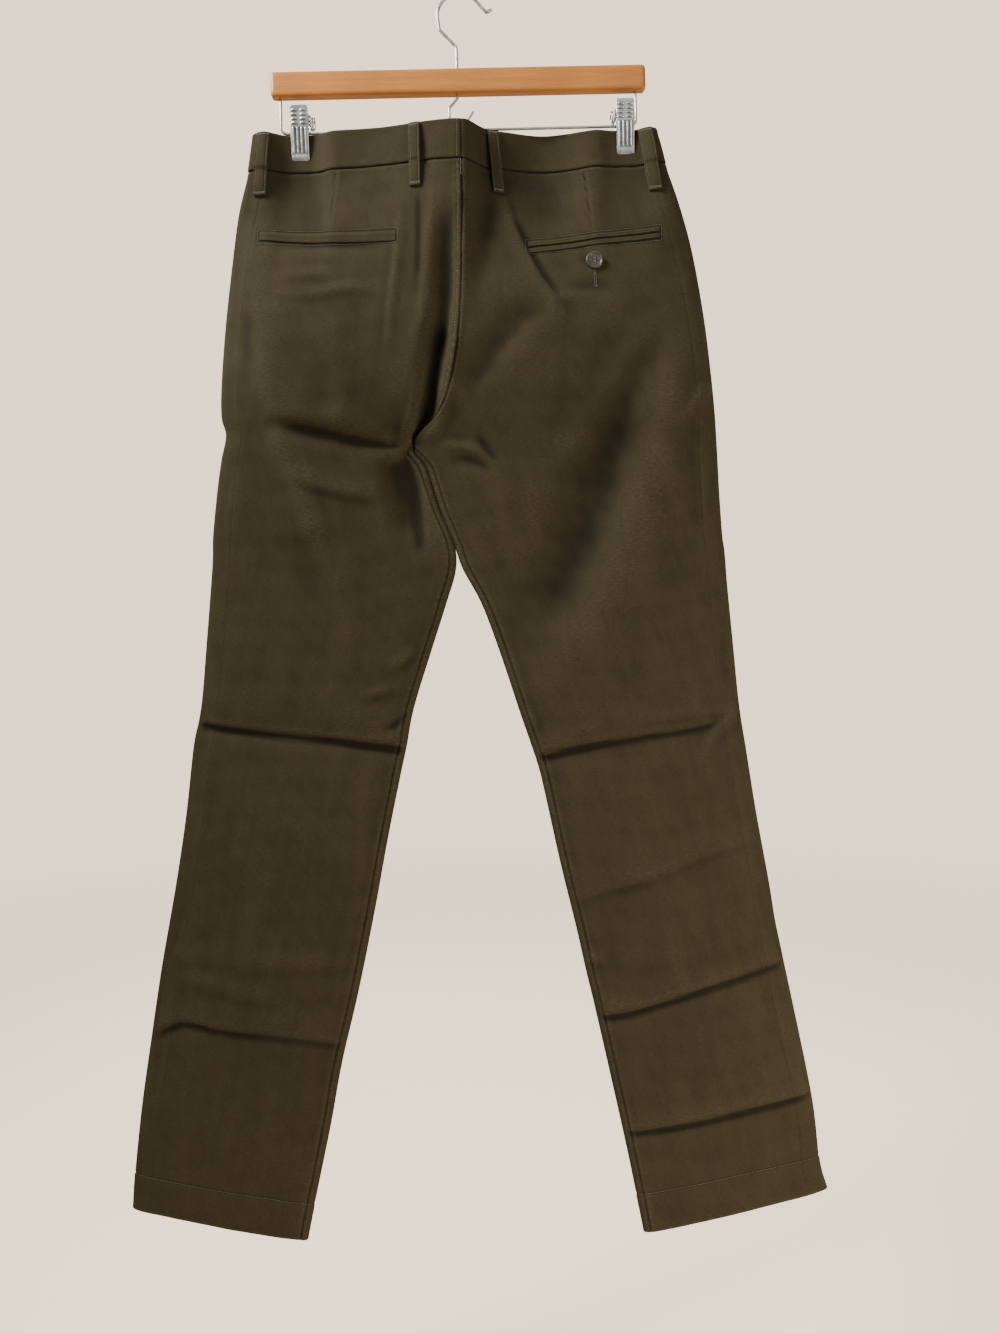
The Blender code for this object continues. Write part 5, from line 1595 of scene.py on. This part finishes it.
def steel_finish(name):
    """Zinc-plated steel: bright, faintly clouded, darkened in pressed hollows as painted shade,
    and brushed with fine scratches."""
    finish = Finish(name, Metallic=1.0)
    where = finish.where()
    cloud = finish.noise(where, Scale=160.0, Detail=4.0)
    tone = finish.ramp(cloud, (0.3, (0.29, 0.29, 0.285)), (0.7, (0.44, 0.44, 0.43)))
    # Where the piece's attribute is below nought the plating is darkened, down to 0.08: painted
    # shade.
    tone = finish.mixed(
        "MULTIPLY", tone, finish.spread(finish.wear_and_painted_light(), -1.0, 0.0, 0.08, 1.0))
    finish.fill(finish.shader, {
        "Base Color": tone, "Roughness": finish.ramp(cloud, (0.3, 0.28), (0.75, 0.42))})
    finish.bump(finish.noise(where, Scale=1500.0, Detail=2.0), 0.25, 0.00005)
    return finish.material


def wood_finish(name):
    """Varnished honey-coloured wood whose grain runs along the bar."""
    settings = bpy.context.scene.chino_hanger
    finish = Finish(name, Roughness=0.42, Coat_Weight=0.12, Coat_Roughness=0.18)
    where = finish.where()
    along = finish.node("Mapping", Vector=where, Scale=(0.045, 1.0, 1.0)).outputs[0]
    rings = finish.noise(along, Scale=260.0, Detail=5.0, Roughness=0.62, Distortion=0.8)
    pores = finish.noise(along, Scale=1500.0, Detail=3.0, Roughness=0.7)
    broad = finish.noise(where, Scale=14.0, Detail=2.0)
    dark, light = tuple(settings.wood_dark), tuple(settings.wood_light)
    middle = tuple(0.5 * (a + b) for a, b in zip(dark, light))
    colour = finish.ramp(rings, (0.30, dark), (0.5, middle), (0.68, light))
    for shade, share in ((finish.ramp(broad, (0.3, 0.88), (0.7, 1.08)), 1.0),
                         (finish.ramp(pores, (0.36, 0.80), (0.5, 1.0)), 0.8)):
        colour = finish.mixed("MULTIPLY", colour, shade, share)
    finish.fill(finish.shader, {"Base Color": colour})
    finish.bump(pores, 0.3, 0.00015)
    return finish.material


def horn_finish(name):
    """Mottled grey-brown horn, matt with a soft shine on its rim."""
    finish = Finish(name, Roughness=0.38)
    where = finish.where()
    swirl = finish.noise(where, Scale=170.0, Detail=4.0, Distortion=1.6)
    tone = finish.ramp(swirl, (0.3, (0.022, 0.018, 0.012)), (0.5, (0.038, 0.031, 0.021)),
                       (0.72, (0.062, 0.053, 0.039)))
    finish.fill(finish.shader, {"Base Color": tone})
    finish.bump(finish.noise(where, Scale=1200.0, Detail=2.0), 0.2, 0.00006)
    return finish.material


def floor_finish(name):
    """Plain pale floor that fades out to the surroundings towards its rim."""
    colour = (*stage_settings().floor_colour, 1.0)
    finish = Finish(name, Base_Color=colour, Emission_Color=colour, Roughness=0.9,
                    Specular_IOR_Level=0.1)
    far = finish.node("VectorMath", operation="LENGTH")
    finish.feed(far.inputs[0], finish.where())
    share = finish.spread(
        far.outputs["Value"], 0.9, 4.0, 0.0, 1.0, interpolation_type="SMOOTHSTEP")
    seen = finish.node("LightPath").outputs["Is Camera Ray"]
    finish.fill(finish.shader, {"Emission Strength": finish.math("MULTIPLY", seen, 1.45)})
    mix = finish.node("MixShader")
    clear = finish.node("BsdfTransparent")
    for socket, value in zip(mix.inputs, (share, finish.shader.outputs[0], clear.outputs[0])):
        finish.feed(socket, value)
    finish.fill(finish.nodes["Material Output"], {"Surface": mix.outputs[0]})
    return finish.material


FINISHES = {
    "olive twill": twill_finish,
    "olive thread": thread_finish,
    "bright steel": steel_finish,
    "honey wood": wood_finish,
    "horn": horn_finish,
    "pale floor": floor_finish,
}


# ---------------------------------------------------------------- settings
class ChinoCloth(bpy.types.PropertyGroup):
    """Sizes and colours of the cloth and its stitching"""

    colour: bpy.props.FloatVectorProperty(
        name="Cloth", description="Colour of the twill", subtype="COLOR",
        default=(0.0365, 0.0280, 0.0138), min=0.0, max=1.0)
    # The paler colour is both worn edges and painted highlight on the cloth's crests.
    worn_and_highlight_colour: bpy.props.FloatVectorProperty(
        name="Worn edges", description="Colour where seams and edges are rubbed",
        subtype="COLOR", default=(0.105, 0.086, 0.056), min=0.0, max=1.0)
    thread_colour: bpy.props.FloatVectorProperty(
        name="Thread", description="Colour of the stitching", subtype="COLOR",
        default=(0.088, 0.075, 0.050), min=0.0, max=1.0)
    wall: bpy.props.FloatProperty(
        name="Cloth thickness", description="Thickness of one layer of twill",
        default=0.0008, min=0.0003, max=0.002, unit="LENGTH", precision=5)
    row_step: bpy.props.FloatProperty(
        name="Row step", description="Distance between the rows of a leg panel's grid",
        default=0.0026, min=0.002, max=0.01, unit="LENGTH", precision=5)
    twill_pitch: bpy.props.FloatProperty(
        name="Twill pitch", description="Distance from one rib of the twill to the next",
        default=0.0009, min=0.0003, max=0.003, unit="LENGTH", precision=5)
    sheen: bpy.props.FloatProperty(
        name="Sheen", description="Strength of the brushed nap's sheen",
        default=0.05, min=0.0, max=1.0, subtype="FACTOR")
    relief: bpy.props.FloatProperty(
        name="Creases", description="How strongly the cloth is creased",
        default=1.35, min=0.0, max=2.0)
    stitch_pitch: bpy.props.FloatProperty(
        name="Stitch pitch", description="Distance from one stitch to the next",
        default=0.0029, min=0.001, max=0.006, unit="LENGTH", precision=5)
    stitch_length: bpy.props.FloatProperty(
        name="Stitch length", description="Length of thread that each stitch shows",
        default=0.0024, min=0.001, max=0.006, unit="LENGTH", precision=5)
    thread_width: bpy.props.FloatProperty(
        name="Thread width", description="Thickness of the topstitching thread",
        default=0.00044, min=0.0001, max=0.001, unit="LENGTH", precision=5)


class ChinoHanger(bpy.types.PropertyGroup):
    """Colours of the hanger"""

    wood_light: bpy.props.FloatVectorProperty(
        name="Wood, light", description="Colour of the wood between its grain",
        subtype="COLOR", default=(0.56, 0.205, 0.030), min=0.0, max=1.0)
    wood_dark: bpy.props.FloatVectorProperty(
        name="Wood, dark", description="Colour of the wood's grain",
        subtype="COLOR", default=(0.43, 0.145, 0.018), min=0.0, max=1.0)


class ChinoStage(bpy.types.PropertyGroup):
    """The floor, the lights and the camera"""

    floor_drop: bpy.props.FloatProperty(
        name="Floor below the hems", description="Height of the hems above the floor",
        default=0.22, min=0.0, max=2.0, unit="LENGTH")
    floor_colour: bpy.props.FloatVectorProperty(
        name="Floor", description="Colour of the floor", subtype="COLOR",
        default=(0.85, 0.69, 0.53), min=0.0, max=1.0)
    air_colour: bpy.props.FloatVectorProperty(
        name="Surroundings", description="Colour of the studio all round",
        subtype="COLOR", default=(1.0, 0.79, 0.60), min=0.0, max=1.0)
    air_seen: bpy.props.FloatProperty(
        name="Surroundings' brightness", description="How bright the studio itself looks",
        default=2.1, min=0.0, max=5.0)
    air_strength: bpy.props.FloatProperty(
        name="Surrounding light", description="Strength of the light from all round",
        default=0.07, min=0.0, max=5.0)
    key_power: bpy.props.FloatProperty(
        name="Key light", description="Power of the soft light at the left",
        default=31.0, min=0.0, max=500.0, unit="POWER")
    fill_power: bpy.props.FloatProperty(
        name="Fill light", description="Power of the soft light low at the right",
        default=14.0, min=0.0, max=500.0, unit="POWER")
    lens: bpy.props.FloatProperty(
        name="Focal length", description="The camera's focal length in millimetres",
        default=27.0, min=10.0, max=200.0)


def cloth():
    """The cloth's settings in the open scene."""
    return bpy.context.scene.chino_cloth


def stage_settings():
    """The stage's settings in the open scene."""
    return bpy.context.scene.chino_stage


# ---------------------------------------------------------------- operators
class CHINO_OT_belt_loops(bpy.types.Operator):
    """Six folded belt loops with topstitched edges and bar tacks"""

    bl_idname = "chino.belt_loops"
    bl_label = "Belt Loops"

    def execute(self, context):
        lines, tacks = [], []
        for row in LOOPS:
            more_lines, more_tacks = belt_loop(*row)
            lines += more_lines
            tacks += more_tacks
        width = cloth().thread_width / MM
        threads("loop_stitching", lines, 2.6, 2.1, 0.5 * width)
        threads("loop_tacks", tacks, 9.0, 2.6, 0.6 * width)
        return {"FINISHED"}


def welt_profile(down, over, tall, wide):
    """A folded welt: domed, with a fine line of stitching along its middle."""
    dome = 0.5 * np.sin(math.pi * np.clip(down / tall, 0.0, 1.0)) ** 0.7
    ends = 0.35 * bell(np.minimum(over, wide - over) / 3.0)
    ripple = 0.10 * np.sin(2 * math.pi * (over / 8.5 + 0.5 * np.sin(over / 23.0)))
    return dome + ripple * np.sin(math.pi * down / tall) - ends + groove(
        down - 0.58 * tall, 0.9, 0.22)


def flat_profile(down, over, tall, wide):
    """A pressed strip, slightly full, with a faint ripple."""
    ripple = 0.08 * np.sin(2 * math.pi * (down / 11.0 + over / 17.0))
    return 0.12 * np.sin(math.pi * over / wide) * np.sin(math.pi * down / tall) + ripple


class CHINO_OT_pockets(bpy.types.Operator):
    """Welts of the back pockets, edges of the front pockets and the fly's placket"""

    bl_idname = "chino.pockets"
    bl_label = "Pockets and Fly"

    def execute(self, context):
        for name, half, side, corners in PATCHES:
            profile = welt_profile if "welt" in name else flat_profile
            laid_piece(name, half, side, corners, profile)
        return {"FINISHED"}


class CHINO_OT_buttons(bpy.types.Operator):
    """The back pocket's button and the waistband's button"""

    bl_idname = "chino.buttons"
    bl_label = "Buttons"

    def execute(self, context):
        button("pocket_button_horn", "back_pocket_button", "right", "seat")
        button("waist_button_horn", "waist_button", "right", "fly")
        return {"FINISHED"}


class CHINO_OT_hems(bpy.types.Operator):
    """The turned-up cloth inside both hems"""

    bl_idname = "chino.hems"
    bl_label = "Hems"

    def execute(self, context):
        for half in ("left", "right"):
            hem_turn(half)
        return {"FINISHED"}


class CHINO_OT_waistband(bpy.types.Operator):
    """The waistband's two halves, lapped in a tab at the front"""

    bl_idname = "chino.waistband"
    bl_label = "Waistband"

    def execute(self, context):
        for half in ("left", "right"):
            piece = waistband(half)
        return {"FINISHED"}


class CHINO_OT_leg_panels(bpy.types.Operator):
    """The back and front panels of both legs"""

    bl_idname = "chino.leg_panels"
    bl_label = "Leg Panels"

    def execute(self, context):
        for half in ("left", "right"):
            for side in ("seat", "fly"):
                piece = leg_panel(half, side)
                names = [f"cloth_{row[0]}" for row in PATCHES if row[1:3] == (half, side)]
                if side == "seat":
                    names.append("hem_cloth_" + half)
        return {"FINISHED"}


def seam_path(half, inset, first, last):
    """Levels and places of a line inset mm from the centre seam."""
    level = np.linspace(first, last, 120)
    values = row_values(half, level)
    place = -values["closure"] + inset / half_width(values)
    return level, place


class CHINO_OT_stitching(bpy.types.Operator):
    """Topstitching: centre back, waistband, pockets, fly and hems, stitch by stitch"""

    bl_idname = "chino.stitching"
    bl_label = "Stitching"

    def execute(self, context):
        settings = cloth()
        pitch, length = settings.stitch_pitch / MM, settings.stitch_length / MM
        radius = 0.5 * settings.thread_width / MM
        seams = []
        for first, last, lift in (
                (1.04, CROTCH - 0.35, 0.12), (0.03, 0.97, BAND_LIFT + 0.15)):
            level, place = seam_path("left", CENTRE_STITCH, first, last)
            seams.append(on_surface("left", level, place, True, lift))
        threads("centre_back_stitching", seams, pitch, length, radius)

        pockets, out = [], WELT_STITCH_OUT
        for half, corners in WELT_FIELDS:
            (ax, az), (bx, bz), drop = corners
            loop = [(ax - out, az + out), (bx + out, bz + out), (bx + out, bz - drop - out),
                    (ax - out, az - drop - out), (ax - out, az + out)]
            pockets.append(path_on_cloth(half, "seat", loop, 0.05))
        threads("back_pocket_stitching", pockets, pitch, length, 0.8 * radius)

        front = []
        for name, half, side, corners in PATCHES:
            if side != "fly":
                continue
            top_left, top_right, low_right, low_left = (np.array(c, float) for c in corners)
            for share in ((0.18, 0.72) if "pocket" in name else (0.12,)):
                line = [top_left + share * (top_right - top_left),
                        low_left + share * (low_right - low_left)]
                front.append(path_on_cloth(half, side, line, 1.25))
        threads("front_stitching", front, pitch, length, radius)

        hems = []
        for half in ("left", "right"):
            for side in (True, False):
                share = np.linspace(-0.992, 0.992, 140)
                level = np.full(140, hem_level(half))
                values = row_values(half, level)
                hems.append(on_surface(half, level, share * values["closure"], side, -0.02))
        threads("hem_stitching", hems, pitch, length, 0.85 * radius)

        tack = []
        for number in range(12):
            along, deep = number % 4 - 1.5, number // 4 - 1.0
            spot = np.array([CROTCH_TACK[0], 1.6 * deep, CROTCH_TACK[1] - 1.5 * along])
            line = spot + np.array([[-4.0, 0.0, -1.5], [4.0, 0.0, 1.5]])
            tack.append((line, np.array([[0.0, -1.0, 0.0]] * 2)))
        threads("crotch_tack", tack, 9.0, 7.6, 0.9)

        edges = []
        for hand in (-1.0, 1.0):
            line = [(x + 0.9 * hand, z) for x, z in BUTTONHOLE]
            edges.append(path_on_cloth("right", "seat", line, 0.25, step=1.0))
        points, outs = (np.stack(both, axis=1) for both in zip(*edges))
        purl = []
        for row in np.linspace(0, len(points) - 1, 26).astype(int):
            for centre, other in (points[row], points[row][::-1]):
                aim = (centre - other) / np.linalg.norm(centre - other)
                line = np.stack([centre - 0.75 * aim, centre + 0.75 * aim])
                purl.append((line, outs[row]))
        threads("buttonhole_purl", purl, 9.0, 1.9, 0.30)
        return {"FINISHED"}


def hem_level(half):
    """The level that lies a hem's height above the hem's edge."""
    level, down = panel_rows(half, 3.0)
    return float(np.interp(down[-1, 0] - HEM_HEIGHT, down[:, 0], level[:, 0]))


class CHINO_OT_hanger(bpy.types.Operator):
    """The wooden bar, the hook, the small hook and the rail"""

    bl_idname = "chino.hanger"
    bl_label = "Bar, Hooks and Rail"

    def execute(self, context):
        hanger_bar()
        hanger_wires()
        return {"FINISHED"}


class CHINO_OT_clips(bpy.types.Operator):
    """Both clips: two pressed jaws and a coil spring each"""

    bl_idname = "chino.clips"
    bl_label = "Clips"

    def execute(self, context):
        for place, x, inward in (("left", CLIP_X[0], 1), ("right", CLIP_X[1], -1)):
            clip_jaw(f"jaw_{place}_outer", f"clip_{place}_outer_jaw", True)
            clip_jaw(f"jaw_{place}_wall", f"clip_{place}_wall_jaw", False)
            clip_spring(f"spring_{place}", f"clip_{place}_spring", x, inward)
        return {"FINISHED"}


def soft_light(name, place, target, size, power, colour, spread=180.0):
    """A round soft light that faces its target, its beam this many degrees wide."""
    lamp = bpy.data.lights.new(name, "AREA")
    lamp.shape, lamp.size, lamp.energy, lamp.color = "DISK", size, power, colour
    lamp.spread = math.radians(spread)
    light = bpy.data.objects.new(name, lamp)
    bpy.context.scene.collection.objects.link(light)
    light.location = place
    aim = Vector(target) - Vector(place)
    light.rotation_euler = aim.to_track_quat("-Z", "Y").to_euler()


class CHINO_OT_stage(bpy.types.Operator):
    """The pale floor, the studio's soft lights and the camera"""

    bl_idname = "chino.stage"
    bl_label = "Stage"

    def execute(self, context):
        settings = stage_settings()
        low, high = CAD_BOX
        world = bpy.data.worlds.new("studio")
        world.use_nodes = True
        tree = world.node_tree
        light = tree.nodes["Background"]
        light.inputs["Color"].default_value = (1.0, 0.97, 0.94, 1.0)
        mirrored = tree.nodes.new("ShaderNodeMath")
        mirrored.operation = "MULTIPLY_ADD"
        mirrored.inputs[1].default_value = 0.75
        mirrored.inputs[2].default_value = settings.air_strength
        seen = tree.nodes.new("ShaderNodeBackground")
        seen.inputs["Color"].default_value = (*settings.air_colour, 1.0)
        seen.inputs["Strength"].default_value = settings.air_seen
        ray, mix = tree.nodes.new("ShaderNodeLightPath"), tree.nodes.new("ShaderNodeMixShader")
        tree.links.new(ray.outputs["Is Glossy Ray"], mirrored.inputs[0])
        tree.links.new(mirrored.outputs[0], light.inputs["Strength"])
        tree.links.new(ray.outputs["Is Camera Ray"], mix.inputs[0])
        tree.links.new(light.outputs[0], mix.inputs[1])
        tree.links.new(seen.outputs[0], mix.inputs[2])
        tree.links.new(mix.outputs[0], tree.nodes["World Output"].inputs["Surface"])
        context.scene.world = world
        floor_mesh = bpy.data.meshes.new("floor")
        angle = np.linspace(0.0, 2.0 * math.pi, 129)[:-1]
        ring_points = np.stack([6.0 * np.cos(angle), 6.0 * np.sin(angle), 0 * angle], -1)
        floor_mesh.from_pydata(ring_points.tolist(), [], [list(range(128))])
        floor_mesh.materials.append(FINISHES["pale floor"]("pale floor"))
        floor = bpy.data.objects.new("floor", floor_mesh)
        floor.location.z = low.z - settings.floor_drop
        context.scene.collection.objects.link(floor)
        centre = (low + high) / 2
        key, fill = settings.key_power, settings.fill_power
        upper = centre + Vector((0.0, 0.0, 0.25))
        lower = centre + Vector((0.25, 0.0, -0.45))
        above = centre + Vector((0.12, 0.0, 0.42))
        soft_light("key_light", (-1.35, -0.65, 0.95), above, 0.7, key, (0.97, 0.97, 0.91), 100.0)
        soft_light("fill_light", (1.3, -1.0, -0.9), lower, 0.8, fill, (1.0, 0.93, 0.85), 120.0)
        soft_light("front_light", (0.3, -1.9, 0.6), upper, 1.2, 0.25 * fill, (1.0, 0.97, 0.94))
        soft_light("back_light", (-0.8, 1.7, 0.8), centre, 1.0, 1.6 * key, (1.0, 0.98, 0.96))
        camera_data = bpy.data.cameras.new("camera")
        camera_data.sensor_width, camera_data.lens = 36.0, settings.lens
        camera_data.clip_start, camera_data.clip_end = 0.01, 100.0
        camera = bpy.data.objects.new("camera", camera_data)
        context.scene.collection.objects.link(camera)
        roll = math.radians(CAMERA["roll"])
        across = Vector((math.cos(roll), 0.0, -math.sin(roll)))
        upward = Vector((math.sin(roll), 0.0, math.cos(roll)))
        towards = Vector((0.0, -1.0, 0.0))
        camera.matrix_world = Matrix((across, upward, towards)).transposed().to_4x4()
        camera.location = Vector(CAMERA["at"])
        context.scene.camera = camera
        return {"FINISHED"}


class CHINO_PT_parts(bpy.types.Panel):
    """Lists the trousers' settings and the steps that make them"""

    bl_label = "Chinos on a Hanger"
    bl_idname = "CHINO_PT_parts"
    bl_space_type = "VIEW_3D"
    bl_region_type = "UI"
    bl_category = "Chinos"

    def draw(self, context):
        for group in ("chino_cloth", "chino_hanger", "chino_stage"):
            settings = getattr(context.scene, group)
            column = self.layout.column(align=True)
            for key in settings.__annotations__:
                column.prop(settings, key)
        column = self.layout.column(align=True)
        for step in STEPS:
            column.operator(step.bl_idname)


GROUPS = {"chino_cloth": ChinoCloth, "chino_hanger": ChinoHanger, "chino_stage": ChinoStage}
STEPS = (
    CHINO_OT_belt_loops, CHINO_OT_pockets, CHINO_OT_buttons, CHINO_OT_hems,
    CHINO_OT_waistband, CHINO_OT_leg_panels, CHINO_OT_stitching, CHINO_OT_hanger,
    CHINO_OT_clips, CHINO_OT_stage,
)


def register():
    for group in (*GROUPS.values(), *STEPS, CHINO_PT_parts):
        bpy.utils.register_class(group)
    for name, group in GROUPS.items():
        setattr(bpy.types.Scene, name, bpy.props.PointerProperty(type=group))


def unregister():
    for name in GROUPS:
        delattr(bpy.types.Scene, name)
    for group in (CHINO_PT_parts, *reversed(STEPS), *GROUPS.values()):
        bpy.utils.unregister_class(group)


def main():
    register()
    for obj in [o for o in bpy.data.objects if o.type in {"LIGHT", "CAMERA"}]:
        bpy.data.objects.remove(obj)
    bpy.ops.chino.belt_loops()
    bpy.ops.chino.pockets()
    bpy.ops.chino.buttons()
    bpy.ops.chino.hems()
    bpy.ops.chino.hanger()
    bpy.ops.chino.clips()
    bpy.ops.chino.waistband()
    bpy.ops.chino.leg_panels()
    bpy.ops.chino.stitching()
    bpy.ops.chino.stage()


if __name__ == "__main__":
    main()
